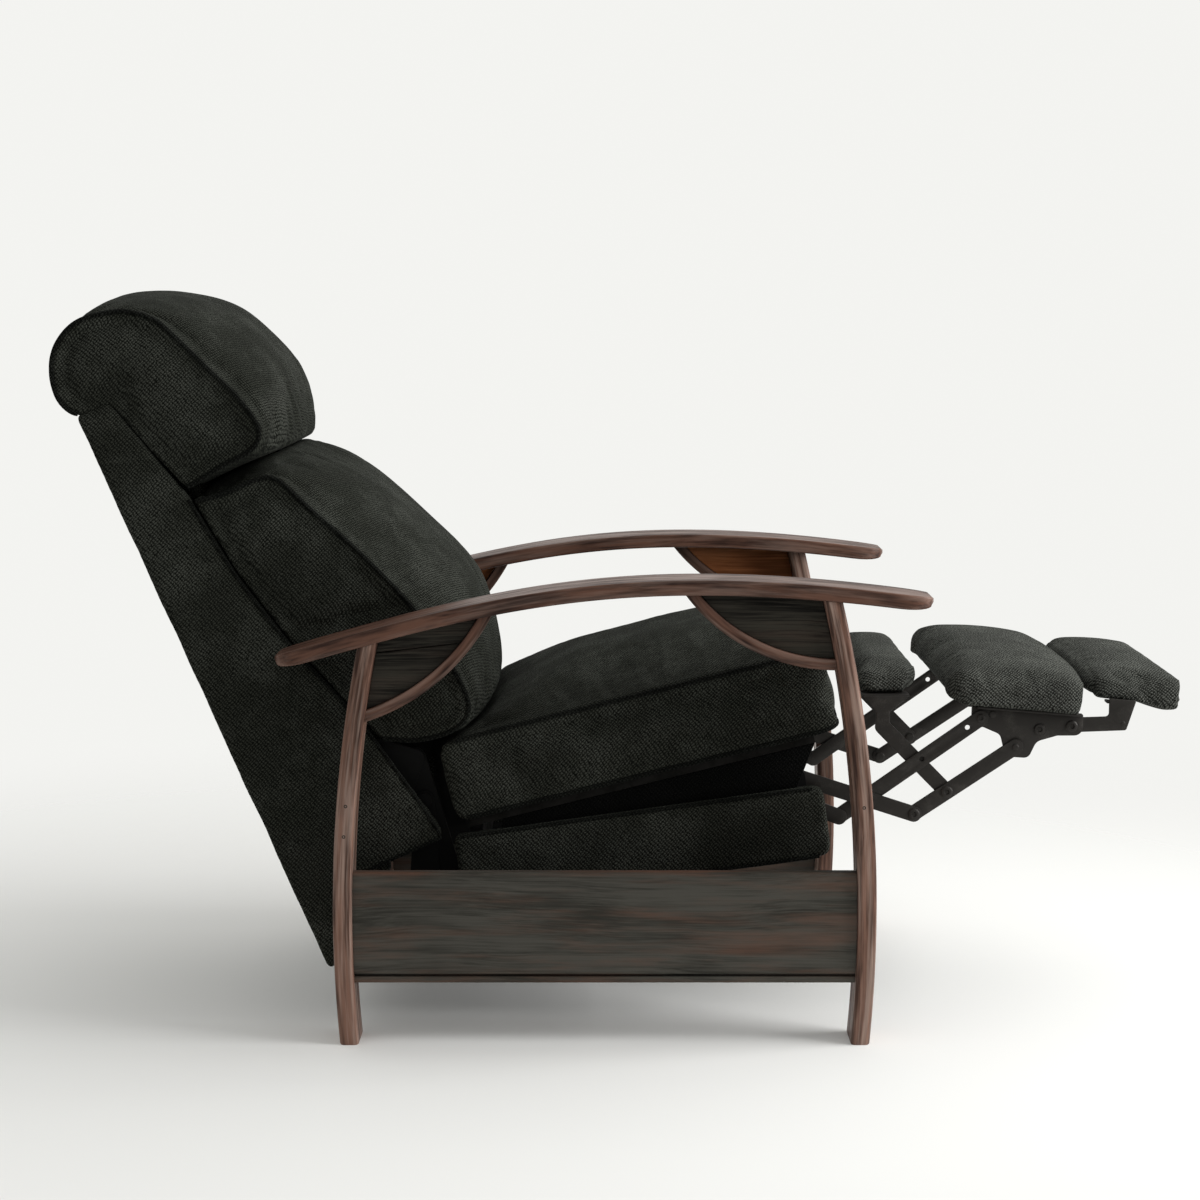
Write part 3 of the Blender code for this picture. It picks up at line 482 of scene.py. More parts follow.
@dataclass(frozen=True)
class Twill:
    """Napped upholstery twill: slanting floats with dark hollows between them, brushed paler in clouds."""

    name: str = "charcoal_twill"
    slot: Slot = Slot.FABRIC
    hollow: Colour = (0.0036, 0.0041, 0.0030)
    thread: Colour = (0.0442, 0.0473, 0.0375)
    brushed: Colour = (0.0830, 0.0880, 0.0750)
    pitch: float = 0.0050
    wander_scale: float = 120.0
    wander: float = 8.0
    fuzz_scale: float = 420.0
    fuzz: float = 1.3
    nap_scale: float = 12.0
    relief: float = 0.0016

    def make(self) -> bpy.types.Material:
        """Make the material.

        Returns:
            The material.
        """
        tree = Tree(bpy.data.materials.new(self.name))
        place = tree.place()
        x, y, z = tree.split(place)
        turn = 2 * math.pi / self.pitch
        wander = tree.noise(place, self.wander_scale, 2.0) * self.wander
        rib = ((x + z) * (0.75 * turn) + y * turn + wander).sine()
        floats = (z * turn - x * (1.1 * turn) + y * (0.45 * turn) - wander).sine()
        fuzz = tree.noise(place, self.fuzz_scale, 3.0, 0.7)
        nap = tree.noise(place, self.nap_scale, 4.0, 0.66).between(0.38, 0.70)
        weave = (rib + 1) * (floats + 1) * 0.22 + (fuzz - 0.5) * self.fuzz + 0.20
        cloth = tree.mix(weave.between(0.0, 0.95), self.hollow, self.thread)
        colour = tree.mix(nap * weave.between(0.1, 0.8) * 0.9, cloth, self.brushed)
        return tree.surface({
            "Base Color": colour,
            "Roughness": 0.98 - weave * 0.12,
            "Normal": tree.bump(weave, 0.75, self.relief),
            "Specular IOR Level": 0.07,
            "Sheen Weight": 0.02,
            "Sheen Roughness": 0.45,
            "Sheen Tint": (0.55, 0.60, 0.54, 1.0),
        })


@dataclass(frozen=True)
class Timber:
    """Streaky stained timber, clouded along its grain and rubbed paler in places."""

    name: str
    slot: Slot
    deep: Colour
    body: Colour
    rubbed: Colour
    patches: float = 0.5
    fineness: float = 0.22
    cloud_length: float = 0.060
    cloud_width: float = 0.045
    gloss: float = 0.22
    wear: float = 0.0
    roughness: float = 0.36
    grain: Grain = Grain.CARVED

    def make(self) -> bpy.types.Material:
        """Make the material.

        Returns:
            The material.
        """
        tree = Tree(bpy.data.materials.new(self.name))
        if self.grain is Grain.CARVED:
            run, across, depth = tree.split(tree.attribute(self.grain.value, "Vector"))
        else:
            across, run, depth = tree.split(tree.place())
        edge = Value(tree, tree.attribute("wear", "Fac"))

        def drawn(along: Value, scale: float, detail: float, rough: float, bend: Optional[Value] = None) -> Value:
            """Noise drawn out along the grain.

            Args:
                along: Place along the grain, scaled.
                scale: Cells per metre across it.
                detail: Octaves.
                rough: Weight of the finer octaves.
                bend: How far the grain strays from straight.

            Returns:
                The noise.
            """
            beside = [(over + bend if bend else over) * scale for over in (across, depth)]
            return tree.noise(tree.join(along, *beside), 1.0, detail, rough)

        bend = drawn(run * 2.2, 6.0, 2.0, 0.5) * 0.05
        fine = drawn(run * 6.0, 330.0, 4.0, 0.66, bend)
        broad = drawn(run * 3.0, 60.0, 4.0, 0.6, bend)
        cloud = drawn(run * (1 / self.cloud_length), 1 / self.cloud_width, 3.0, 0.6)
        rub = drawn(run * (0.7 / self.cloud_length) + 9.0, 1.4 / self.cloud_width, 4.0, 0.62)
        streak = (broad * 0.34 + fine * self.fineness + cloud * (0.91 - self.fineness)).between(0.48, 0.74)
        stained = tree.mix(streak, self.deep, self.body)
        scuff = rub.between(0.44, 0.70) * (0.5 + fine * 0.8) * self.patches
        colour = tree.mix(scuff + edge * rub.between(0.35, 0.60) * self.wear, stained, self.rubbed)
        return tree.surface({
            "Base Color": colour,
            "Roughness": self.roughness + 0.22 * (1 - streak),
            "Normal": tree.bump(streak * 0.5 + fine * 0.5, 0.30, 0.0007),
            "Specular IOR Level": self.gloss,
        })


@dataclass(frozen=True)
class SatinSteel:
    """Dark satin-coated steel with faint handling marks."""

    name: str = "satin_steel"
    slot: Slot = Slot.STEEL
    coat: Colour = (0.030, 0.027, 0.024)
    bare: Colour = (0.085, 0.078, 0.070)
    roughness: float = 0.46

    def make(self) -> bpy.types.Material:
        """Make the material.

        Returns:
            The material.
        """
        tree = Tree(bpy.data.materials.new(self.name))
        place = tree.place()
        cloud = tree.noise(place, 38.0, 4.0, 0.6)
        grit = tree.noise(place, 700.0, 2.0)
        rub = (cloud * 0.7 + grit * 0.3).between(0.50, 0.72)
        return tree.surface({
            "Base Color": tree.mix(rub * 0.6, self.coat, self.bare),
            "Roughness": self.roughness + 0.16 * (cloud - 0.5) + 0.05 * grit,
            "Normal": tree.bump(grit, 0.12, 0.0003),
            "Metallic": 0.55,
            "Specular IOR Level": 0.5,
        })


@dataclass(frozen=True)
class Finishes:
    """The chair's finishes."""

    twill: Twill = Twill()
    # Pad cover: the seat's twill painted paler, as painted light for the stronger light on the pads' tops.
    pad_twill_painted_light: Twill = Twill(
        "painted_light_pad_twill", hollow=(0.0045, 0.0050, 0.0040), thread=(0.110, 0.114, 0.101), brushed=(0.148, 0.155, 0.137))
    # Near-black cloth for the seat risers and the back's joint strip: painted shade in the recess and the crease.
    lining_painted_shade: Twill = Twill(
        "black_painted_shade_cloth", hollow=(0.0008, 0.0009, 0.0008), thread=(0.0040, 0.0042, 0.0037),
        brushed=(0.006, 0.006, 0.0055))
    # Welt cords: the twill painted darker, as painted shade for the shadow line along the seams.
    piping_painted_shade: Twill = Twill(
        "dark_welt_painted_shade", hollow=(0.0018, 0.0021, 0.0016), thread=(0.0130, 0.0140, 0.0118),
        brushed=(0.026, 0.028, 0.024))
    arm_wood: Timber = Timber(
        "worn_arm_wood", Slot.WOOD, (0.022, 0.009, 0.006), (0.150, 0.072, 0.048), (0.270, 0.180, 0.145),
        fineness=0.30, cloud_length=0.110, cloud_width=0.016, wear=0.10)
    leg_wood: Timber = Timber(
        "worn_leg_wood", Slot.WOOD, (0.034, 0.015, 0.010), (0.230, 0.122, 0.086), (0.400, 0.290, 0.240),
        patches=0.85, fineness=0.30, cloud_length=0.150, cloud_width=0.012)
    panel_wood: Timber = Timber(
        "dark_panel_wood", Slot.DARK_WOOD, (0.034, 0.0325, 0.027), (0.080, 0.076, 0.065), (0.155, 0.078, 0.053),
        patches=0.58, fineness=0.45, cloud_length=0.22, gloss=0.10, wear=0.3)
    corbel_wood: Timber = Timber(
        "corbel_wood", Slot.DARK_WOOD, (0.003, 0.0026, 0.002), (0.042, 0.038, 0.030), (0.070, 0.042, 0.032),
        patches=0.3, fineness=0.60, cloud_length=0.20, gloss=0.10)
    # Inward faces of the corbel panels: a warm tone, partly the wood's own and partly painted light, brightened to
    # make up for the shade on them.
    inner_wood_painted_light: Timber = Timber(
        "warm_painted_light_wood", Slot.DARK_WOOD, (0.190, 0.064, 0.022), (0.480, 0.180, 0.070), (0.520, 0.260, 0.130),
        patches=0.3, fineness=0.40, cloud_length=0.20, gloss=0.10)
    # Near-black deck and rails under the seat: painted shade in the recess.
    deck_wood_painted_shade: Timber = Timber(
        "deck_board", Slot.DARK_WOOD, (0.006, 0.006, 0.005), (0.012, 0.011, 0.010), (0.02, 0.018, 0.016),
        patches=0.2, gloss=0.1, roughness=0.70, grain=Grain.CROSSWISE)
    steel: SatinSteel = SatinSteel()
    # Near-black steel for parts deep inside the frame: painted shade.
    black_steel: SatinSteel = SatinSteel(
        "black_steel", coat=(0.003, 0.003, 0.0028), bare=(0.007, 0.0065, 0.006), roughness=0.72)


# Mesh making

class Form:
    """A mesh in the making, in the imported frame. Timber coordinates and edge wear go with its points."""

    def __init__(self) -> None:
        """Start an empty mesh."""
        self.bm = bmesh.new()
        self.wear = self.bm.verts.layers.float.new("wear")
        self.grain = self.bm.verts.layers.float_vector.new("grain")

    def point(self, at: Point, y: float, wear: float = 0.0,
              grain: Optional[Sequence[float]] = None) -> bmesh.types.BMVert:
        """Add a point.

        Args:
            at: Place in the side view.
            y: Distance from the centre plane.
            wear: How far an edge is rubbed here.
            grain: Place in the timber: along, across and through it.

        Returns:
            The vertex.
        """
        made = self.bm.verts.new((at[0] - CENTRE_X, y, at[1]))
        made[self.wear] = wear
        made[self.grain] = Vector(grain if grain else (at[0], at[1], y))
        return made

    def skin(self, rings: Sequence[Sequence[bmesh.types.BMVert]], capped: bool = True) -> None:
        """Join closed rings into a tube.

        Args:
            rings: Rings of as many points each.
            capped: Whether the tube's ends are closed.
        """
        for one, two in zip(rings, rings[1:]):
            for i in range(len(one)):
                j = (i + 1) % len(one)
                self.bm.faces.new((one[i], one[j], two[j], two[i]))
        if capped:
            self.bm.faces.new(rings[0])
            self.bm.faces.new(rings[-1][::-1])

    def prism(self, outline: Outline, near: float, far: float, ease: float = 0.0, steps: int = 2) -> None:
        """Close an outline into a solid, its long edges eased.

        Args:
            outline: Outline in the side view.
            near: One face's distance along Y.
            far: The other face's distance.
            ease: Radius of the eased edges.
            steps: Facets of each eased edge.
        """
        inward = 1 if far > near else -1
        rings = []
        for k in range(steps + 1 if ease else 1):
            a = math.pi / 2 * k / steps
            inset = ease * (1 - math.sin(a))
            drawn = shrink(outline, inset) if inset > 1e-6 else outline
            rings.append((drawn, ease * (1 - math.cos(a))))
        rows = [[self.point(p, near + inward * d, 1.0 if ease else 0.0) for p in o] for o, d in rings]
        rows += [[self.point(p, far - inward * d, 1.0 if ease else 0.0) for p in o] for o, d in rings[::-1]]
        self.skin(rows)

    def plate(self, outlines: Sequence[Outline], near: float, far: float, holes: Sequence[Outline] = ()) -> None:
        """Close overlapping outlines into one flat part with through holes and eased edges.

        Args:
            outlines: Outlines that overlap.
            near: One face's distance along Y.
            far: The other face's distance.
            holes: Outlines of holes.
        """
        spots: list[Vector] = []
        loops: list[list[int]] = []
        for outline in (*outlines, *holes):
            ordered = outline if area(outline) > 0 else outline[::-1]
            loops.append(list(range(len(spots), len(spots) + len(ordered))))
            spots += [Vector(p) for p in ordered]
        flat, _, faces, _, _, origins = delaunay_2d_cdt(spots, [], loops, 1, 1e-6)
        kept = [face for face, owners in zip(faces, origins) if owners and max(owners) < len(outlines)]
        rows = [{i: self.point(tuple(flat[i]), y) for face in kept for i in face} for y in (near, far)]
        edges: dict[tuple[int, int], int] = {}
        for face in kept:
            for i, j in zip(face, face[1:] + face[:1]):
                edges[(i, j)] = 1
            self.bm.faces.new([rows[0][i] for i in face])
            self.bm.faces.new([rows[1][i] for i in face[::-1]])
        rims = [pair for pair in edges if pair[::-1] not in edges]
        for i, j in rims:
            self.bm.faces.new((rows[0][i], rows[1][i], rows[1][j], rows[0][j]))
        sharp = [self.bm.edges.get((row[i], row[j])) for i, j in rims for row in rows]
        bmesh.ops.bevel(self.bm, geom=sharp, offset=PLATE_EASE, segments=2, affect="EDGES", profile=0.5)

    def dome(self, at: Point, y: float, out: int, radius: float, height: float, dimple: float = 0.0) -> None:
        """Rivet or bolt head on a face that looks along Y.

        Args:
            at: Its centre in the side view.
            y: Distance of the face that carries it.
            out: 1 where it stands out along +Y, and -1 along -Y.
            radius: Its radius.
            height: How far it stands out.
            dimple: Radius of a hollow in its middle.
        """
        shape = [(1.0, -0.1), (1.0, 0.45), (0.9, 0.8), (0.65, 0.97)]
        shape += [(dimple / radius, 1.0), (dimple / radius * 0.7, 0.35)] if dimple else [(0.3, 1.05)]
        rows = [[self.point(p, y + out * height * h) for p in circle(at, radius * r, 20)] for r, h in shape]
        self.skin(rows)

    def tube(self, path: Sequence[Vector], radius: float, sides: int = 8) -> None:
        """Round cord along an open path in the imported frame.

        Args:
            path: Points of its middle line.
            radius: Its radius.
            sides: Facets round it.
        """
        rings = []
        normal: Optional[Vector] = None
        for i, here in enumerate(path):
            tangent = (path[min(i + 1, len(path) - 1)] - path[max(i - 1, 0)]).normalized()
            guess = normal if normal is not None else tangent.orthogonal()
            normal = (guess - tangent * guess.dot(tangent)).normalized()
            other = tangent.cross(normal)
            ring = []
            for k in range(sides):
                a = 2 * math.pi * k / sides
                spot = here + (normal * math.cos(a) + other * math.sin(a)) * radius
                ring.append(self.point((spot.x + CENTRE_X, spot.z), spot.y))
            rings.append(ring)
        self.skin(rings)


def shrink(outline: Outline, inset: float) -> Outline:
    """Outline moved inwards by an inset, point by point.

    Args:
        outline: Closed outline in either sense.
        inset: Distance to move.

    Returns:
        The smaller outline.
    """
    sense = 1 if area(outline) > 0 else -1
    moved: Outline = []
    count = len(outline)
    for i, p in enumerate(outline):
        a, b = Vector(p) - Vector(outline[i - 1]), Vector(outline[(i + 1) % count]) - Vector(p)
        if a.length < 1e-9 or b.length < 1e-9:
            moved.append(p)
            continue
        a, b = a.normalized(), b.normalized()
        one, two = Vector((-a.y, a.x)) * sense, Vector((-b.y, b.x)) * sense
        mean = (one + two).normalized()
        step = mean * (inset / max(0.35, mean.dot(one)))
        moved.append((p[0] + step.x, p[1] + step.y))
    return moved


def placed(name: str, data: Any) -> bpy.types.Object:
    """New object in the scene.

    Args:
        name: Its name.
        data: Its mesh, light or camera.

    Returns:
        The object.
    """
    made = bpy.data.objects.new(name, data)
    bpy.context.scene.collection.objects.link(made)
    return made


class Workshop:
    """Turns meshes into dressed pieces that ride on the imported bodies."""

    def __init__(self, packed: dict[str, Any]) -> None:
        """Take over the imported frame.
        """
        self.nodes: dict[str, bpy.types.Object] = packed["nodes"]
        self.finishes = Finishes()
        self.made: dict[str, bpy.types.Material] = {}

    def material(self, finish: Any) -> bpy.types.Material:
        """Make a finish's material, once.

        Args:
            finish: The finish.

        Returns:
            The material.
        """
        if finish.name not in self.made:
            self.made[finish.name] = finish.make()
        return self.made[finish.name]

    def piece(self, name: str, form: Form, body: Body, finish: Any,
              stands_for: Sequence[str] = ()) -> bpy.types.Object:
        """Turn a form into a piece.

        Args:
            name: The piece's name.
            form: Its mesh.
            body: Body that it rides on.
            finish: Its finish.
            stands_for: CAD nodes that it replaces.

        Returns:
            The piece.
        """
        bmesh.ops.recalc_face_normals(form.bm, faces=form.bm.faces)
        mesh = bpy.data.meshes.new(name)
        form.bm.to_mesh(mesh)
        form.bm.free()
        made = placed(name, mesh)
        mesh.materials.append(self.material(finish))
        mesh.shade_smooth()
        mesh.set_sharp_from_angle(angle=SHARP_ANGLE)
        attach(made, body.value)
        if stands_for:
            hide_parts(*stands_for)
        LOG.info("%s on %s: %d faces", name, body.value, len(mesh.polygons))
        return made

    def dress(self, finish: Any, *names: str) -> None:
        """Give CAD nodes that stay in view a finish.

        Args:
            finish: The finish.
            names: The nodes' names.
        """
        for name in names:
            node = self.nodes[name]
            for socket in node.material_slots:
                socket.material = self.material(finish)
            LOG.info("%s keeps its CAD form", name)


@dataclass(frozen=True)
class Filling:
    """How a soft piece is stuffed."""

    voxel: float
    start_smaller: float
    cap: float
    proud: float
    fill: float
    slack: float = -0.03
    stuffed: bool = True
    relax: int = 4
    held: bool = True
    ripple: float = 0.0006
    pinch: float = 0.0028


class Upholstery:
    """Stuffs, sews and seats the soft pieces."""

    PRESSURE = 5.0
    FRAMES = 14
    BURIED = 0.002
    CLEARANCE = 0.0004
    SHARE_OF_GAP = 0.45
    PINCH_REACH = 0.010
    REST_REACH = 0.020
    REST_FADE = 0.010
    WELT_PROUD = 0.45
    WELT_PASSES = 3

    def __init__(self, shop: Workshop) -> None:
        """Work on a workshop's pieces."""
        self.shop = shop

    @staticmethod
    def applied(made: bpy.types.Object) -> None:
        """Replace a piece's mesh by its mesh with modifiers.

        Args:
            made: The piece.
        """
        evaluated = made.evaluated_get(bpy.context.evaluated_depsgraph_get())
        old = made.data
        made.data = bpy.data.meshes.new_from_object(evaluated)
        made.modifiers.clear()
        bpy.data.meshes.remove(old)

    @staticmethod
    def points(mesh: bpy.types.Mesh, what: str = "co") -> np.ndarray:
        """Read a mesh's vertices.

        Args:
            mesh: The mesh.
            what: co for their places, normal for their normals.

        Returns:
            A row for each vertex.
        """
        flat = np.zeros(len(mesh.vertices) * 3, np.float32)
        source = mesh.vertices if what == "co" else mesh.vertex_normals
        source.foreach_get("co" if what == "co" else "vector", flat)
        return flat.reshape(-1, 3).astype(float)

    @staticmethod
    def move(mesh: bpy.types.Mesh, places: np.ndarray) -> None:
        """Put a mesh's vertices at new places."""
        mesh.vertices.foreach_set("co", places.astype(np.float32).ravel())
        mesh.update()

    def relaxed(self, made: bpy.types.Object, rounds: int) -> None:
        """Even out a piece.

        Args:
            made: The piece.
            rounds: Rounds of smoothing.
        """
        if rounds:
            even = made.modifiers.new("even", "SMOOTH")
            even.factor = 0.5
            even.iterations = rounds
            self.applied(made)

    def tree_of(self, names: Iterable[str]) -> BVHTree:
        """Search tree of CAD nodes.

        Args:
            names: The nodes' names.

        Returns:
            One tree of them all.
        """
        vertices: list[Vector] = []
        faces: list[tuple[int, ...]] = []
        for name in names:
            mesh = self.shop.nodes[name].data
            base = len(vertices)
            vertices += [v.co.copy() for v in mesh.vertices]
            faces += [tuple(base + i for i in p.vertices) for p in mesh.polygons]
        return BVHTree.FromPolygons(vertices, faces)

    def neighbours(self, own: Sequence[str]) -> BVHTree:
        """Search tree of every CAD node but a soft piece's own."""
        return self.tree_of(name for name in self.shop.nodes if name not in own)

    def held(self, places: np.ndarray, own: Sequence[str], proud: float) -> np.ndarray:
        """Keep points in the space of their CAD solids, clear of the neighbours.

        Args:
            places: The points.
            own: CAD nodes whose space they may fill.
            proud: How far they may stand out of it where nothing is near.

        Returns:
            The held points.
        """
        solid, others = self.tree_of(own), self.neighbours(own)
        kept = places.copy()
        for i, place in enumerate(places):
            spot = Vector(place)
            near, normal, _, distance = solid.find_nearest(spot)
            if (spot - near).dot(normal) <= 0:
                distance = -distance
            if distance < -self.BURIED:
                continue
            _, _, _, gap = others.find_nearest(near)
            room = min(proud, gap * self.SHARE_OF_GAP - self.CLEARANCE)
            if distance > room:
                kept[i] = near + normal * room
        return kept

    def stuff(self, made: bpy.types.Object, filling: Filling, own: Sequence[str],
              seams: Sequence[Sequence[Vector]] = ()) -> None:
        """Stuff a piece: remesh it, swell it between its seams and seat it in its CAD space.

        Args:
            made: The piece.
            filling: How it is stuffed.
            own: CAD nodes whose space it fills.
            seams: Lines where the cover is sewn down.
        """
        grid = made.modifiers.new("grid", "REMESH")
        grid.mode = "VOXEL"
        grid.voxel_size = filling.voxel
        self.applied(made)
        self.relaxed(made, filling.relax)
        start = self.points(made.data)
        sewn = np.maximum(self.sewn(start, seams), self.seated(start, own))
        inner = start - self.points(made.data, "normal") * (filling.start_smaller * (1 - sewn))[:, None]
        if filling.stuffed:
            self.move(made.data, inner)
            swollen = self.swell(made, filling, sewn)
            step = swollen - inner
            reach = np.linalg.norm(step, axis=1)
            share = filling.cap * np.tanh(reach / filling.cap) / np.maximum(reach, 1e-9)
            start = inner + step * share[:, None]
        self.move(made.data, start)
        normals = self.points(made.data, "normal")
        lift = self.ripples(start, filling.ripple * (1 - sewn))
        lift = lift - filling.pinch * self.sewn(start, seams, self.PINCH_REACH)
        start = start + normals * lift[:, None]
        self.move(made.data, self.held(start, own, filling.proud) if filling.held else start)
        finer = made.modifiers.new("finer", "SUBSURF")
        finer.levels = finer.render_levels = 1
        self.applied(made)
        made.data.shade_smooth()

    @staticmethod
    def ripples(places: np.ndarray, height: np.ndarray) -> np.ndarray:
        """Slight unevenness of a cover: how far each point stands out."""
        spots = [Vector((p[0] * 9.0 + p[2] * 5.0, p[1] * 14.0, p[2] * 16.0)) for p in places]
        return np.array([noise.fractal(spot, 1.0, 2.0, 3) for spot in spots]) * height

    def seated(self, places: np.ndarray, own: Sequence[str]) -> np.ndarray:
        """How far each point rests on a neighbour.

        Args:
            places: The points.
            own: CAD nodes of the piece itself.

        Returns:
            A number from nought to one for each point.
        """
        others = self.neighbours(own)
        gaps = np.array([others.find_nearest(Vector(place))[3] for place in places])
        return np.clip((self.REST_REACH - gaps) / self.REST_FADE, 0.0, 1.0)

    @staticmethod
    def sewn(places: np.ndarray, seams: Sequence[Sequence[Vector]], reach: float = 0.022) -> np.ndarray:
        """How firmly each point is held by the seams.

        Args:
            places: The points.
            seams: Lines where the cover is sewn down.
            reach: How far a seam pulls.

        Returns:
            A number from nought to one for each point.
        """
        spots = [spot for seam in seams for spot in seam]
        if not spots:
            return np.zeros(len(places))
        lookup = KDTree(len(spots))
        for i, spot in enumerate(spots):
            lookup.insert(spot, i)
        lookup.balance()
        gaps = np.array([lookup.find(place)[2] for place in places])
        return np.clip((reach - gaps) / (reach * 0.72), 0.0, 1.0)

    @staticmethod
    def swell(made: bpy.types.Object, filling: Filling, sewn: np.ndarray) -> np.ndarray:
        """Let a cover swell under pressure.

        Args:
            made: The piece.
            filling: How it is stuffed.
            sewn: How firmly each point is held.

        Returns:
            Where the points end up.
        """
        scene = bpy.context.scene
        group = made.vertex_groups.new(name="sewn")
        for i, weight in enumerate(sewn):
            if weight > 0.01:
                group.add([i], float(weight), "REPLACE")
        cloth = made.modifiers.new("cover", "CLOTH")
        cover = cloth.settings
        cover.quality = 4
        cover.mass = 0.3
        cover.use_pressure = True
        cover.uniform_pressure_force = Upholstery.PRESSURE
        cover.effector_weights.gravity = 0.0
        cover.shrink_min = filling.slack
        cover.vertex_group_mass = "sewn"
        cloth.collision_settings.use_collision = False
        cloth.point_cache.frame_start = 1
        cloth.point_cache.frame_end = Upholstery.FRAMES
        for number in range(1, Upholstery.FRAMES + 1):
            scene.frame_set(number)
        evaluated = made.evaluated_get(bpy.context.evaluated_depsgraph_get())
        swollen = Upholstery.points(evaluated.data)
        made.modifiers.clear()
        made.vertex_groups.clear()
        scene.frame_set(1)
        return swollen

    def welt(self, name: str, paths: Sequence[Sequence[Vector]], cover: bpy.types.Object, body: Body,
             radius: float = 0.0034) -> bpy.types.Object:
        """Sew welt cords on a cover.

        Args:
            name: The piece's name.
            paths: Lines that the cords follow.
            cover: Soft piece that carries them.
            body: Body that they ride on.
            radius: Radius of a cord.

        Returns:
            The piece.
        """
        mesh = cover.data
        surface = BVHTree.FromPolygons([v.co for v in mesh.vertices], [tuple(p.vertices) for p in mesh.polygons])
        form = Form()
        for path in paths:
            line = []
            for spot in path:
                near, normal, _, _ = surface.find_nearest(spot)
                line.append(near + normal * (radius * self.WELT_PROUD))
            for _ in range(self.WELT_PASSES):
                line = [line[0], *((a + 2 * b + c) / 4 for a, b, c in zip(line, line[1:], line[2:])), line[-1]]
            form.tube(line, radius)
        # The cords take the darker twill: painted shade along the seams.
        made = self.shop.piece(name, form, body, self.shop.finishes.piping_painted_shade)
        return made


def dense(points: Sequence[Vector], step: float = 0.006) -> list[Vector]:
    """Path with a point every few millimetres.

    Args:
        points: Corners of the path.
        step: Distance between points.

    Returns:
        The finer path.
    """
    path = [points[0]]
    for a, b in zip(points, points[1:]):
        count = max(1, round((b - a).length / step))
        path += [a.lerp(b, k / count) for k in range(1, count + 1)]
    return path


def at_side(outline: Iterable[Point], y: float) -> list[Vector]:
    """Points of the side view at a distance along Y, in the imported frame."""
    return [Vector((x - CENTRE_X, y, z)) for x, z in outline]


# Wooden side frames

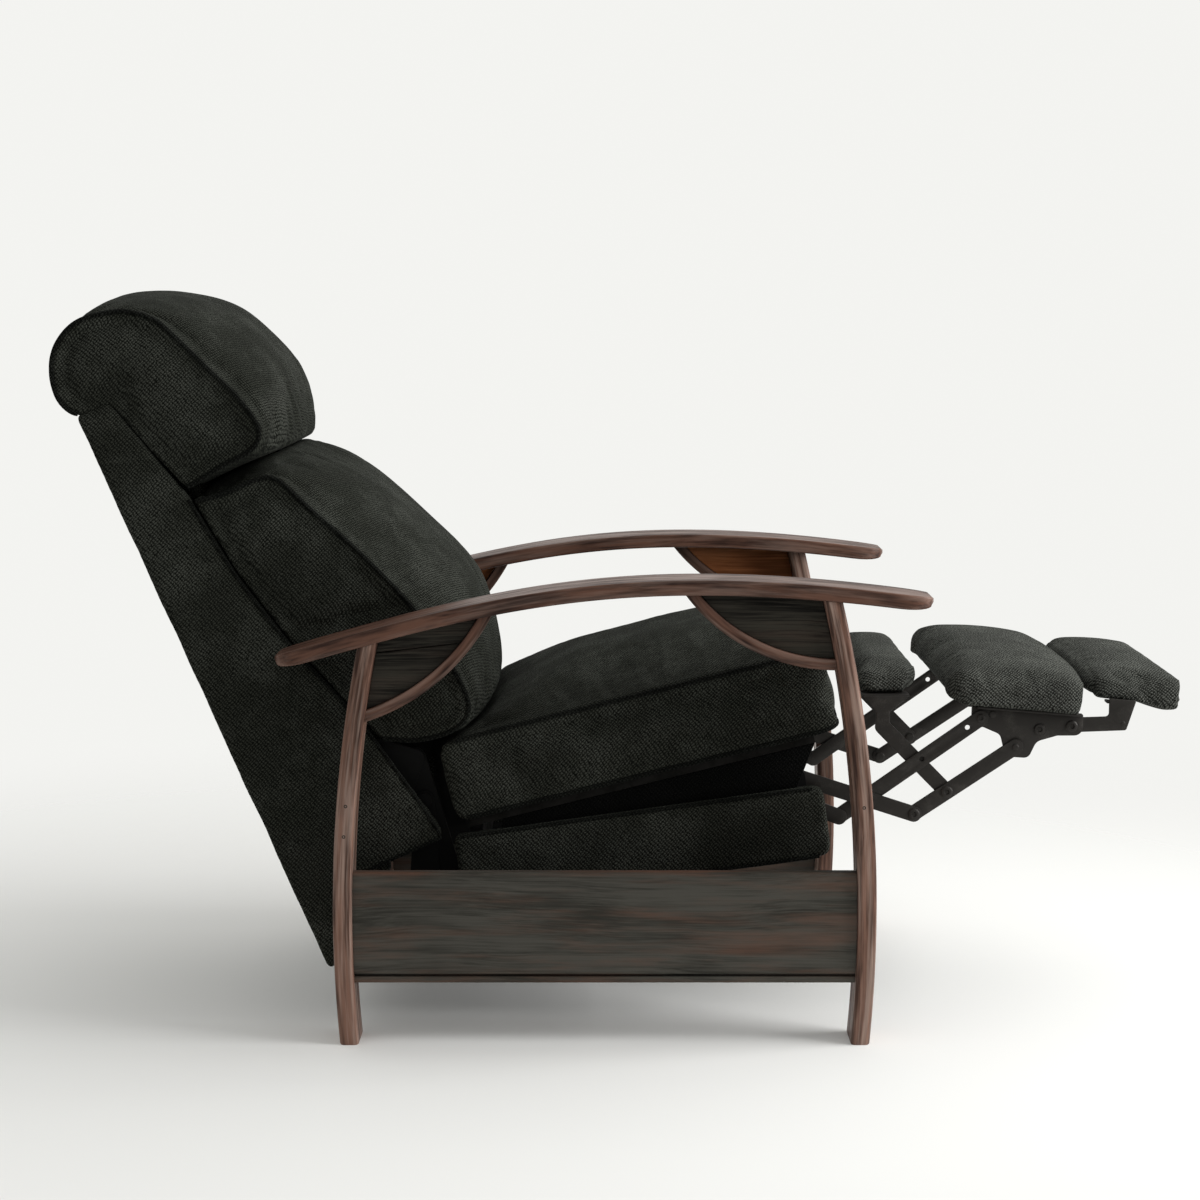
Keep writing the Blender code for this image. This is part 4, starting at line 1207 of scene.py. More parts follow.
@dataclass
class SideFrame:
    """Bow arm, bent legs, lower panel and corbels of one side."""

    shop: Workshop
    side: Side
    half_width: float = 0.375
    arm_curve: tuple[Point, ...] = ((-0.451, 0.537), (-0.160, 0.621), (0.020, 0.673), (0.433, 0.616))
    arm_width: float = 0.090
    arm_thickness: float = 0.0205
    tip_width: float = 0.056
    tip_thickness: float = 0.011
    tip_length: float = 0.045
    tip_rounding: Span = (0.45, 0.8)
    tip_push: float = 0.006
    arm_ease: float = 0.0022
    leg_span: Span = (0.302, 0.372)
    leg_width: float = 0.026
    leg_ease: float = 0.0060
    leg_bow: Point = (1.900, 0.175)
    foot_height: float = 0.002
    foot_taper: Span = (0.90, 0.97)
    leg_centres: dict[str, tuple[float, int]] = field(
        default_factory=lambda: {"front": (0.350, 1), "rear": (-0.365, -1)})
    screw_places: tuple[tuple[str, float], ...] = (("rear", 0.332), ("rear", 0.290), ("front", 0.330))
    panel_span: Span = (0.340, 0.362)
    panel_heights: Span = (0.0845, 0.2378)
    bead: float = 0.009
    groove: float = 0.0042
    groove_depth: float = 0.0085
    panel_ease: float = 0.003
    rim_span: Span = (0.337, 0.367)
    rim_thickness: float = 0.015
    rim_ease: float = 0.0018
    corbel_span: Span = (0.345, 0.359)
    corbels: dict[str, tuple[float, float, float]] = field(
        default_factory=lambda: {"front": (0.256, 0.517, 0.0), "rear": (0.300, 0.446, 18.0)})
    joint: tuple[Point, Point] = ((-0.330, 0.5385), (-0.200, 0.5535))
    joint_half: float = 0.0006
    gap: float = 0.0003

    def build(self) -> None:
        """Build the whole side."""
        self.arm()
        self.panel()
        for place in self.leg_centres:
            self.leg(place)
            self.rim(place)
            self.corbel_panel(place)
        self.screws()

    def wooden(self, word: str, ending: str, form: Form, finish: Timber) -> bpy.types.Object:
        """Turn a form into this side's piece for a CAD node.

        Args:
            word: The node's name without its side.
            ending: What the piece's name adds to it.
            form: The piece's mesh.
            finish: Its finish.

        Returns:
            The piece.
        """
        name = self.side.word + "_" + word
        return self.shop.piece(name + "_" + ending, form, Body.FRAME, finish, (name,))

    def arm_top(self, t: float) -> Point:
        """Point of the arm's top line.

        Args:
            t: Nought at its rear tip, and one at its front tip.

        Returns:
            The point's x and z.
        """
        a, b, c, d = (1 - t) ** 3, 3 * t * (1 - t) ** 2, 3 * t * t * (1 - t), t ** 3
        x, z = (a * p + b * q + c * r + d * s for p, q, r, s in zip(*self.arm_curve))
        return x, z

    def underside(self, x: float) -> float:
        """Height of the arm's underside over x."""
        t = last_true(lambda t: self.arm_top(t)[0] < x, 0.0, 1.0)
        return self.arm_top(t)[1] - self.arm_thickness

    def leg_x(self, place: str, z: float) -> float:
        """Middle line of a leg.

        Args:
            place: Which leg.
            z: Height.

        Returns:
            Its x there.
        """
        centre, bow = self.leg_centres[place]
        radius, height = self.leg_bow
        return centre - bow * (radius - math.sqrt(radius ** 2 - (z - height) ** 2))

    def leg_face(self, place: str, z: float) -> float:
        """Face of a leg towards the middle of the chair."""
        inward = -1 if place == "front" else 1
        return self.leg_x(place, z) + inward * (self.leg_width / 2 + self.gap)

    @staticmethod
    def section(half_a: float, half_b: float, ease: float) -> list[tuple[float, float, float]]:
        """Eased rectangle as rows of a, b and wear.

        Args:
            half_a: Half its first side.
            half_b: Half its second side.
            ease: Radius of its corners.

        Returns:
            Points round it.
        """
        margin = min(0.006, half_b * 0.45, half_a * 0.45)
        rows: list[tuple[float, float, float]] = []
        for corner in range(4):
            sa, sb = ((1, 1), (-1, 1), (-1, -1), (1, -1))[corner]
            ca, cb = sa * (half_a - ease), sb * (half_b - ease)
            first = math.pi / 2 * corner
            angles = [first + k * math.pi / 8 for k in range(5)]
            arc = [(ca + ease * math.cos(angle), cb + ease * math.sin(angle), 1.0) for angle in angles]
            near = 0.0007
            for end, reach, wear in (
                    (0, margin, 0.1), (0, near, 0.8), (None, 0.0, 0.0), (4, near, 0.8), (4, margin, 0.1)):
                if end is None:
                    rows += arc
                elif (end == 0) == (corner % 2 == 0):
                    rows.append((arc[end][0], arc[end][1] - sb * reach, wear))
                else:
                    rows.append((arc[end][0] - sa * reach, arc[end][1], wear))
        return rows

    def arm(self) -> None:
        """Bow arm: a bent board that thins and narrows at both tips."""
        form = Form()
        rings = []
        stations = 56
        run = 0.0
        last: Optional[Point] = None
        middle_y = self.half_width - self.arm_width / 2
        steps = [(0.5 - 0.5 * math.cos(math.pi * k / stations), 1.0) for k in range(stations + 1)]
        tip = self.tip_rounding
        for t, shrunk in [*((0.0, k) for k in tip), *steps, *((1.0, k) for k in tip[::-1])]:
            x, top = self.arm_top(t)
            run += math.dist((x, top), last) if last else 0.0
            last = (x, top)
            from_tip = min(x - self.arm_curve[0][0], self.arm_curve[3][0] - x)
            share = min(1.0, from_tip / self.tip_length)
            full = math.sqrt(1 - (1 - share) ** 2)
            thick = self.tip_thickness + (self.arm_thickness - self.tip_thickness) * full
            wide = self.tip_width + (self.arm_width - self.tip_width) * full
            push = (1 - shrunk) * self.tip_push * (1 if t > 0.5 else -1)
            ease = min(self.arm_ease, thick * 0.25)
            ring = []
            for a, b, wear in self.section(wide / 2 * shrunk ** 0.5, thick / 2 * shrunk, ease * shrunk):
                spot = (x + push, top - thick / 2 + b)
                grain = (run, a + self.side.value, b + top * 0.02)
                ring.append(form.point(spot, self.side.value * (middle_y + a), wear, grain))
            rings.append(ring)
        form.skin(rings)
        self.wooden("arm", "board", form, self.shop.finishes.arm_wood)

    def leg(self, place: str) -> None:
        """Bent leg from the floor to the arm's underside.

        Args:
            place: Which leg.
        """
        form = Form()
        rings = []
        middle_y = sum(self.leg_span) / 2
        half_y = (self.leg_span[1] - self.leg_span[0]) / 2
        shape = self.section(self.leg_width / 2, half_y, self.leg_ease)
        steps, first_guess = 36, 0.58
        tops = []
        for a, _, _ in shape:
            top = self.underside(self.leg_x(place, first_guess) + a)
            for _ in range(4):
                top = self.underside(self.leg_x(place, top) + a) - self.gap
            tops.append(top)
        for k in (-1, *range(steps + 1)):
            along, over = self.foot_taper if k < 0 else (1.0, 1.0)
            ring = []
            for (a, b, wear), top in zip(shape, tops):
                z = 0.0 if k < 0 else (self.foot_height if k == 0 else top * k / steps)
                worn = max(wear, 0.8 if k <= 0 else 0.0)
                spot = (self.leg_x(place, z) + a * along, z)
                y = self.side.value * (middle_y + b * over)
                ring.append(form.point(spot, y, worn, (z, a + self.leg_x(place, 0), b + self.side.value)))
            rings.append(ring)
        form.skin(rings)
        self.wooden(place + "_leg", "post", form, self.shop.finishes.leg_wood)

    def panel(self) -> None:
        """Lower panel between the legs: eased top edge, and a groove above a bead along its foot."""
        inner, outer = self.panel_span
        low, high = self.panel_heights
        bead, ease = low + self.bead, self.panel_ease
        above, deep = bead + self.groove, outer - self.groove_depth
        profile = [(inner, low + 0.001, 0.2), (inner + 0.001, low, 0.4), (outer - ease, low, 0.6)]
        profile += [(outer - ease + ease * math.sin(a), low + self.bead / 2 - self.bead / 2 * math.cos(a), 0.15)
                    for a in (0.5, 1.0, 1.57, 2.1, 2.7)]
        profile += [(deep, bead + 0.0004, 0.0), (deep, above - 0.0004, 0.0)]
        profile += [(outer - 0.0006, above, 0.3), (outer, above + 0.0012, 0.3)]
        profile += [(outer, above + (high - bead - self.groove) * k / 8, 0.0) for k in range(1, 8)]
        profile += [(outer, high - 0.007, 0.2), (outer, high - ease, 1.0), (outer - 0.0009, high - 0.0009, 1.0)]
        profile += [(outer - ease, high, 1.0), (inner + ease, high, 1.0), (inner, high - ease, 0.6)]
        form = Form()
        rings = []
        stations = 40
        for k in range(stations + 1):
            ring = []
            for y, z, wear in profile:
                rear, front = self.leg_face("rear", z), self.leg_face("front", z)
                x = rear + (front - rear) * k / stations
                ring.append(form.point((x, z), self.side.value * y, wear, (x, z + self.side.value, y)))
            rings.append(ring)
        form.skin(rings)
        self.wooden("side_panel", "board", form, self.shop.finishes.panel_wood)

    def arc(self, place: str, inset: float, steps: int) -> Outline:
        """Arc of a corbel's rim from the leg to the arm's underside.

        Args:
            place: Which leg it springs from.
            inset: Distance in from its outer edge.
            steps: Facets.

        Returns:
            The arc's points.
        """
        radius, foot, slope = self.corbels[place]
        away = -1 if place == "front" else 1
        lean = math.radians(slope)
        centre = (self.leg_face(place, foot) - away * radius * math.sin(lean), foot + radius * math.cos(lean))

        def spot(a: float) -> Point:
            """Point of the arc at an angle from straight down."""
            r = radius - inset
            return centre[0] + away * r * math.sin(a), centre[1] - r * math.cos(a)

        def behind_leg(a: float) -> bool:
            """Whether the arc is still inside the leg at an angle."""
            x, z = spot(a)
            return (x - self.leg_face(place, z)) * away < 0

        def under_arm(a: float) -> bool:
            """Whether the arc is still below the arm at an angle."""
            x, z = spot(a)
            return z < self.underside(x) - self.gap

        first = last_true(behind_leg, -0.6, 1.0)
        last = last_true(under_arm, first + 0.05, 1.5)
        return [spot(first + (last - first) * k / steps) for k in range(steps + 1)]

    def rim(self, place: str) -> None:
        """Bent rim of a corbel.

        Args:
            place: Which leg it springs from.
        """
        form = Form()
        steps = 28
        middle_y = sum(self.rim_span) / 2
        half_y = (self.rim_span[1] - self.rim_span[0]) / 2
        columns = []
        for a, b, wear in self.section(self.rim_thickness / 2, half_y, self.rim_ease):
            arc = self.arc(place, self.rim_thickness / 2 + a, steps)
            runs = np.cumsum([0.0, *(math.dist(p, q) for p, q in zip(arc, arc[1:]))])
            y = self.side.value * (middle_y + b)
            columns.append([form.point(p, y, wear, (run + 0.3, a, b)) for p, run in zip(arc, runs)])
        form.skin([list(ring) for ring in zip(*columns)])
        self.wooden(place + "_corbel_rim", "bow", form, self.shop.finishes.arm_wood)

    def corbel_panel(self, place: str) -> None:
        """Thin panel that a rim frames. The rear one is two boards with an open joint.

        Args:
            place: Which leg it stands against.
        """
        arc = self.arc(place, self.rim_thickness + self.gap, 20)
        low, high = arc[0][1], arc[-1]
        under = low
        for _ in range(6):
            under = self.underside(self.leg_face(place, under)) - self.gap
        heights = [low + (under - low) * k / 8 for k in range(9)]
        leg_side = [(self.leg_face(place, z), z) for z in heights]
        corner = leg_side[-1][0]
        spots = [corner + (high[0] - corner) * k / 12 for k in range(1, 12)]
        arm_side = [(x, self.underside(x) - self.gap) for x in spots]
        outline = arc + arm_side[::-1] + leg_side[:0:-1]
        form = Form()
        span = self.side.span(*self.corbel_span)
        boards = [outline]
        if place == "rear":
            boards = [above_line(outline, *((x, z + shift) for x, z in self.joint), shift > 0)
                      for shift in (self.joint_half, -self.joint_half)]
        for board in boards:
            form.prism(board, *span, PLATE_EASE, 1)
        for vertex in form.bm.verts:
            vertex[form.wear] = 0.0
        made = self.wooden(place + "_corbel_panel", "boards", form, self.shop.finishes.corbel_wood)
        # Inward faces take the brighter warm wood: painted light on faces that lie in shade.
        made.data.materials.append(self.shop.material(self.shop.finishes.inner_wood_painted_light))
        for face in made.data.polygons:
            face.material_index = int(face.normal.y * self.side.value < -0.5)

    def screws(self) -> None:
        """Small screw heads in the legs' outer faces."""
        form = Form()
        out = self.side.value
        y = out * self.leg_span[1] - out * 0.0012
        for place, z in self.screw_places:
            form.dome((self.leg_x(place, z), z), y, out, radius=0.0030, height=0.0014, dimple=0.0012)
        self.shop.piece(self.side.word + "_leg_screws", form, Body.FRAME, self.shop.finishes.steel)


# Upholstered seat

@dataclass
class Seat:
    """Seat cushion and the covered rails under it."""

    shop: Workshop
    sewing: Upholstery
    half: float = 0.278
    cushion_rear: Point = (-0.218, 0.287)
    cushion_tilt: float = 13.9
    length: float = 0.556
    thickness: float = 0.117
    crown: float = 0.050
    nose: float = 0.006
    rail_rear: Point = (-0.205, 0.171)
    rail_tilt: float = 7.95
    rail_length: float = 0.51179
    rail_height: float = 0.100
    rail_nose: float = 0.008
    rail_span: Span = (0.246, 0.276)
    riser_outer: float = 0.262
    riser_start: float = 0.13
    riser_end: float = 0.94
    riser_top: Point = (0.516, -0.0106)
    riser_sunk: float = 0.006
    welt_inset: float = 0.0015
    rail_welt_inset: float = 0.002
    rail_welt_radius: float = 0.0026
    filling: Filling = Filling(voxel=0.007, start_smaller=0.006, cap=0.014, proud=0.014, fill=0.75, slack=-0.014)
    rail_filling: Filling = Filling(
        voxel=0.005, start_smaller=0.0, cap=0.004, proud=0.009, fill=0.9, stuffed=False, relax=6)

    def build(self) -> None:
        """Build the seat's soft pieces."""
        self.cushion()
        for side in Side:
            self.rail(side)

    def spot(self, s: float, n: float) -> Point:
        """Point of the cushion's tilted frame."""
        return tilted(self.cushion_rear, self.cushion_tilt, s, n)

    def profile(self, crown: float, nose: float, radius: float) -> Outline:
        """Side profile of the cushion.

        Args:
            crown: How far its top rises.
            nose: How far its front stands out.
            radius: Rounding of its top front edge.

        Returns:
            The outline.
        """
        top = self.thickness + crown
        dip = self.thickness - crown * 0.4
        front = self.length + nose
        corners = [(0.0, 0.0, 0.022), (front, 0.0, 0.022), (front, top - crown * 0.2, radius)]
        falls = ((0.62, 0.0), (0.40, 0.06), (0.27, 0.14), (0.15, 0.30))
        corners += [(self.length * share, top - crown * fall, 0) for share, fall in falls]
        corners += [(self.length * 0.09, dip + crown * 0.85, 0), (0.0, dip, 0.016)]
        return [self.spot(*p) for p in rounded(corners, 4)]

    def cushion(self) -> None:
        """Boxed seat cushion with welts along its upper and lower edges."""
        form = Form()
        loft(form, self.profile(0.0, 0.0, 0.016), self.profile(self.crown, self.nose, 0.055), self.half)
        made = self.shop.piece("seat_cushion_cover", form, Body.SEAT, self.shop.finishes.twill, ("seat_cushion",))
        upper = (self.thickness - 0.001, 0.030, self.length - 0.006, 0.030)
        lower = (0.003, 0.020, self.length - 0.010, 0.0)
        edge = self.half - self.welt_inset
        paths = []
        for n, first, last, sag in (upper, lower):  # Height, both ends, and fall across the front
            run = [self.spot(s, n) for s in np.linspace(first, last, 40)]
            x, z = self.spot(self.length + 0.012, n - sag)
            across = [Vector((x - CENTRE_X, y, z)) for y in np.linspace(-edge + 0.02, edge - 0.02, 40)]
            paths.append(dense([*at_side(run, -edge), *across, *at_side(run[::-1], edge)]))
        self.sewing.stuff(made, self.filling, ("seat_cushion",), paths)
        self.sewing.welt("seat_cushion_welts", paths, made, Body.SEAT)

    def rail(self, side: Side) -> None:
        """Covered seat rail with a riser up to the deck and welts along its edges.

        Args:
            side: Which side it is on.
        """
        front, high = self.rail_length + self.rail_nose, self.rail_height

        def spot(s: float, n: float) -> Point:
            """Point of the rail's tilted frame."""
            return tilted(self.rail_rear, self.rail_tilt, s, n)

        rows = ((0, 0, 0.007), (front, 0, 0.014), (front, high, 0.014), (0, high, 0.007))
        form = Form()
        form.prism(rounded([(*spot(s, n), r) for s, n, r in rows]), *side.span(*self.rail_span), 0.005, 3)
        name = side.word + "_seat_rail"
        made = self.shop.piece(name + "_cover", form, Body.SEAT, self.shop.finishes.twill, (name,))
        self.sewing.stuff(made, self.rail_filling, (name,))
        first, last = self.rail_length * self.riser_start, self.rail_length * self.riser_end
        riser = [spot(s, high - self.riser_sunk) for s in (first, last)]
        riser += [self.spot(s, self.riser_top[1]) for s in (self.riser_top[0], first)]
        form = Form()
        form.prism(riser, *side.span(self.rail_span[0] + 0.004, self.riser_outer - 0.001), 0.002, 2)
        # The riser is near-black: painted shade in the recess between rail and cushion.
        self.shop.piece(name + "_riser", form, Body.SEAT, self.shop.finishes.lining_painted_shade)
        lines = []
        for n, end in ((high - self.rail_welt_inset, 0.008), (self.rail_welt_inset, 0.010)):
            run = [spot(s, n) for s in np.linspace(0.010, self.rail_length - end, 60)]
            lines.append(at_side(run, side.value * (self.rail_span[1] - self.rail_welt_inset)))
        self.sewing.welt(name + "_welts", lines, made, Body.SEAT, self.rail_welt_radius)


def loft(form: Form, edge: Outline, crown: Outline, half: float, stations: int = 44, dish: float = 0.004) -> None:
    """Padded form whose side profile swells to a crown between its ends.

    Args:
        form: Mesh that takes it.
        edge: Side profile at both ends.
        crown: Profile in the middle, point for point.
        half: Half its width.
        stations: Profiles across it.
        dish: How far its ends are hollowed.
    """
    rows = []
    for k in range(stations + 1):
        share = math.sin(math.pi / 2 * (2 * k / stations - 1))
        swell = 1 - abs(share) ** 3
        rows.append([form.point(part_way(a, b, swell), half * share) for a, b in zip(edge, crown)])
    form.skin(rows, capped=False)
    middle = (sum(p[0] for p in edge) / len(edge), sum(p[1] for p in edge) / len(edge))
    for row, end in ((rows[0], -1), (rows[-1], 1)):
        inner = [form.point(part_way(p, middle, 0.4), end * (half - dish)) for p in edge]
        form.skin([row, inner], capped=False)
        form.bm.faces.new(inner)


# Upholstered back

@dataclass
class Back:
    """Outer back, wings and the two cushions of the back."""

    shop: Workshop
    sewing: Upholstery
    half: float = 0.278
    foot: Point = (-0.385, 0.086)
    lean: float = 23.9
    height: float = 0.838
    panel_thickness: float = 0.016
    wing_inner: float = 0.254
    wing_foot: Point = (0.105, 0.045)
    wing_front: tuple[Point, ...] = ((0.108, 0.214), (0.294, 0.180), (0.443, 0.132), (0.560, 0.105), (0.677, 0.0905))
    wing_top: float = 0.045
    tuck: float = 0.005
    press: float = 0.940
    strip_heights: Span = (0.679, 0.695)
    strip_depths: Span = (0.096, 0.214)
    strip_half: float = 0.138
    gap: float = 0.0007
    ease: float = 0.004
    cushion_welt_inset: float = 0.001
    shell_welt_inset: float = 0.0015
    shell_welt_radius: float = 0.0024
    shell_welt_foot: tuple[Point, ...] = ((0.104, 0.055), (0.104, 0.120), (0.106, 0.205))
    lumbar: tuple[tuple[Point, Point], ...] = (
        ((0.262, 0.1915), (0.284, 0.1860)), ((0.240, 0.245), (0.222, 0.245)), ((0.236, 0.296), (0.212, 0.304)),
        ((0.258, 0.324), (0.234, 0.350)), ((0.310, 0.326), (0.302, 0.374)), ((0.411, 0.310), (0.400, 0.382)),
        ((0.512, 0.275), (0.508, 0.342)), ((0.600, 0.235), (0.590, 0.305)), ((0.657, 0.210), (0.654, 0.268)),
        ((0.667, 0.181), (0.688, 0.220)), ((0.666, 0.140), (0.692, 0.150)), ((0.674, 0.0925), (0.684, 0.0925)))
    headrest: tuple[tuple[Point, Point], ...] = (
        ((0.6885, 0.0925), (0.687, 0.0925)), ((0.698, 0.150), (0.684, 0.165)), ((0.701, 0.196), (0.688, 0.244)),
        ((0.722, 0.2185), (0.716, 0.264)), ((0.772, 0.211), (0.779, 0.266)), ((0.833, 0.187), (0.826, 0.252)),
        ((0.884, 0.167), (0.879, 0.230)), ((0.920, 0.150), (0.914, 0.204)), ((0.945, 0.122), (0.946, 0.162)),
        ((0.958, 0.085), (0.974, 0.104)), ((0.960, 0.044), (0.979, 0.046)), ((0.940, 0.006), (0.954, 0.003)),
        ((0.907, -0.014), (0.914, -0.018)), ((0.873, -0.020), (0.872, -0.028)), ((0.850, -0.011), (0.847, -0.019)),
        ((0.842, -0.003), (0.842, -0.005)))
    cushion_filling: Filling = Filling(voxel=0.0065, start_smaller=0.006, cap=0.014, proud=0.009, fill=0.8)
    board_filling: Filling = Filling(
        voxel=0.005, start_smaller=0.0, cap=0.004, proud=0.002, fill=0.9, stuffed=False, relax=6, held=False,
        ripple=0.0012)

    def build(self) -> None:
        """Build the back's soft pieces."""
        self.shell()
        rest = [(u, v + self.gap) for u, v in self.wing_front[3:0:-1]]
        self.pressed(*self.cushion("back_cushion", self.lumbar, rest))
        top = self.height + self.gap
        self.cushion("head_cushion", self.headrest, ((top, 0.004), (top, self.wing_top), (0.760, 0.0678)))
        self.joint_strip()

    def spot(self, u: float, v: float) -> Point:
        """Point of the back's own frame: u up the outer back, v forward from it."""
        return tilted(tilted(self.foot, 90.0 + self.lean, u), self.lean, v)

    def joint_strip(self) -> None:
        """Strip of near-black cloth that closes the joint between the two cushions: painted shade in the crease."""
        (low, high), (rear, front) = self.strip_heights, self.strip_depths
        form = Form()
        outline = [self.spot(u, v) for u, v in ((low, rear), (low, front), (high, front), (high, rear))]
        form.prism(outline, -self.strip_half, self.strip_half, 0.003, 3)
        self.shop.piece("back_joint_strip", form, Body.BACK, self.shop.finishes.lining_painted_shade)

    def pressed(self, *pieces: bpy.types.Object) -> None:
        """Give each piece its own copy of its mesh.

        Args:
            pieces: The cushion's cover and welts.
        """
        x, z = self.spot(*self.lumbar[-1][0])
        for piece in pieces:
            x - CENTRE_X
            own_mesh(piece)

    def cushion(self, node: str, pairs: Sequence[tuple[Point, Point]],
                rest: Sequence[Point]) -> tuple[bpy.types.Object, bpy.types.Object]:
        """Cushion of the back with a welt round each side panel.

        Args:
            node: CAD node that it replaces.
            pairs: Points at the side edge and on the crown.
            rest: Points where it rests on the back.

        Returns:
            The cover and its welts.
        """
        edge, crown = (smooth([self.spot(*pair[which]) for pair in pairs]) for which in (0, 1))
        behind = [self.spot(*p) for p in rest]
        form = Form()
        loft(form, edge + behind, crown + behind, self.half)
        made = self.shop.piece(node + "_cover", form, Body.BACK, self.shop.finishes.twill, (node,))
        paths = [dense(at_side(edge, side.value * (self.half - self.cushion_welt_inset))) for side in Side]
        self.sewing.stuff(made, self.cushion_filling, (node,), paths)
        return made, self.sewing.welt(node + "_welts", paths, made, Body.BACK)

    def shell(self) -> None:
        """Outer back and wings under one cover, welted along the wings' front edges."""
        top = self.height + self.tuck
        rear = self.panel_thickness / 2
        corners = [(0.0, rear, 0), (0.0, self.wing_foot[1], 0.008), (*self.wing_foot, 0.02)]
        corners += [(self.wing_foot[0], self.wing_front[0][1] - 0.004, 0.008), (*self.wing_front[0], 0.008)]
        corners += [(u, v, 0.05) for u, v in self.wing_front[1:]]
        corners += [(top, self.wing_top, 0.01), (top, rear, 0)]
        outline = rounded([(*self.spot(u, v), r) for u, v, r in corners])
        form = Form()
        for side in Side:
            form.prism(outline, *side.span(self.wing_inner, self.half), self.ease, 3)
        panel = ((0, -0.010), (top, -0.005), (top, self.panel_thickness), (0, self.panel_thickness))
        form.prism([self.spot(*p) for p in panel], -self.half, self.half, self.ease, 3)
        nodes = ("back_panel", "right_back_wing", "left_back_wing")
        made = self.shop.piece("back_shell_cover", form, Body.BACK, self.shop.finishes.twill, nodes)
        self.sewing.stuff(made, self.board_filling, nodes)
        inset = self.shell_welt_inset
        front = smooth([self.spot(u, v - inset) for u, v in (*self.shell_welt_foot, *self.wing_front)], 16)
        lines = [at_side(front, side.value * (self.half - inset)) for side in Side]
        self.sewing.welt("back_shell_welts", lines, made, Body.BACK, self.shell_welt_radius)


# Footrest pads

@dataclass
class Pad:
    """One covered footrest pad, wrapped down over its board."""

    shop: Workshop
    sewing: Upholstery
    word: str
    body: Body
    board: tuple[Point, float]
    length: float
    half: float
    height: float
    crown: float
    proud: float
    lip: float
    lip_start: float
    corner: float = 0.030
    roll: float = 0.022
    foot_roll: float = 0.008
    lift: float = 0.0006
    shoulder: float = 0.35
    top_radius: float = 0.030

    def build(self) -> None:
        """Build the pad."""
        form = Form()
        rows = []
        stations = 48
        for k in range(stations + 1):
            y = self.half * math.sin(math.pi / 2 * (2 * k / stations - 1))
            inset = self.drop(y, self.corner)
            swell = 1 - (abs(y) / self.half) ** 3
            high = self.height + self.crown * swell - self.drop(y, self.roll) * 0.9
            low = self.lift + self.drop(y, self.foot_roll) * 0.5
            radius = min(self.top_radius, self.height * 0.55)
            front, shoulder = self.length - inset, high - self.crown * self.shoulder * swell
            corners = ((inset, low, 0.013), (self.lip_start, low, 0), (front, low - self.lip, 0.012),
                       (front, shoulder, radius), (self.length * 0.60, high, 0), (self.length * 0.40, high, 0),
                       (inset, shoulder, radius))
            rows.append([form.point(tilted(*self.board, s, n), y) for s, n in rounded(corners, 5)])
        form.skin(rows)
        nodes = (self.word + "_pad", self.word + "_board")
        # The pad cover takes the paler twill: painted light.
        made = self.shop.piece(self.word + "_pad_cover", form, self.body, self.shop.finishes.pad_twill_painted_light, nodes)
        filling = Filling(voxel=0.0045, start_smaller=0.004, cap=0.009, proud=self.proud, fill=0.85,
                          slack=-0.008, ripple=0.0003)
        self.sewing.stuff(made, filling, nodes)

    def drop(self, y: float, radius: float) -> float:
        """How far a rounding of the pad's end has fallen at a distance along Y."""
        past = max(0.0, abs(y) - (self.half - radius))
        return radius - math.sqrt(max(0.0, radius ** 2 - past ** 2))


# Steel linkage

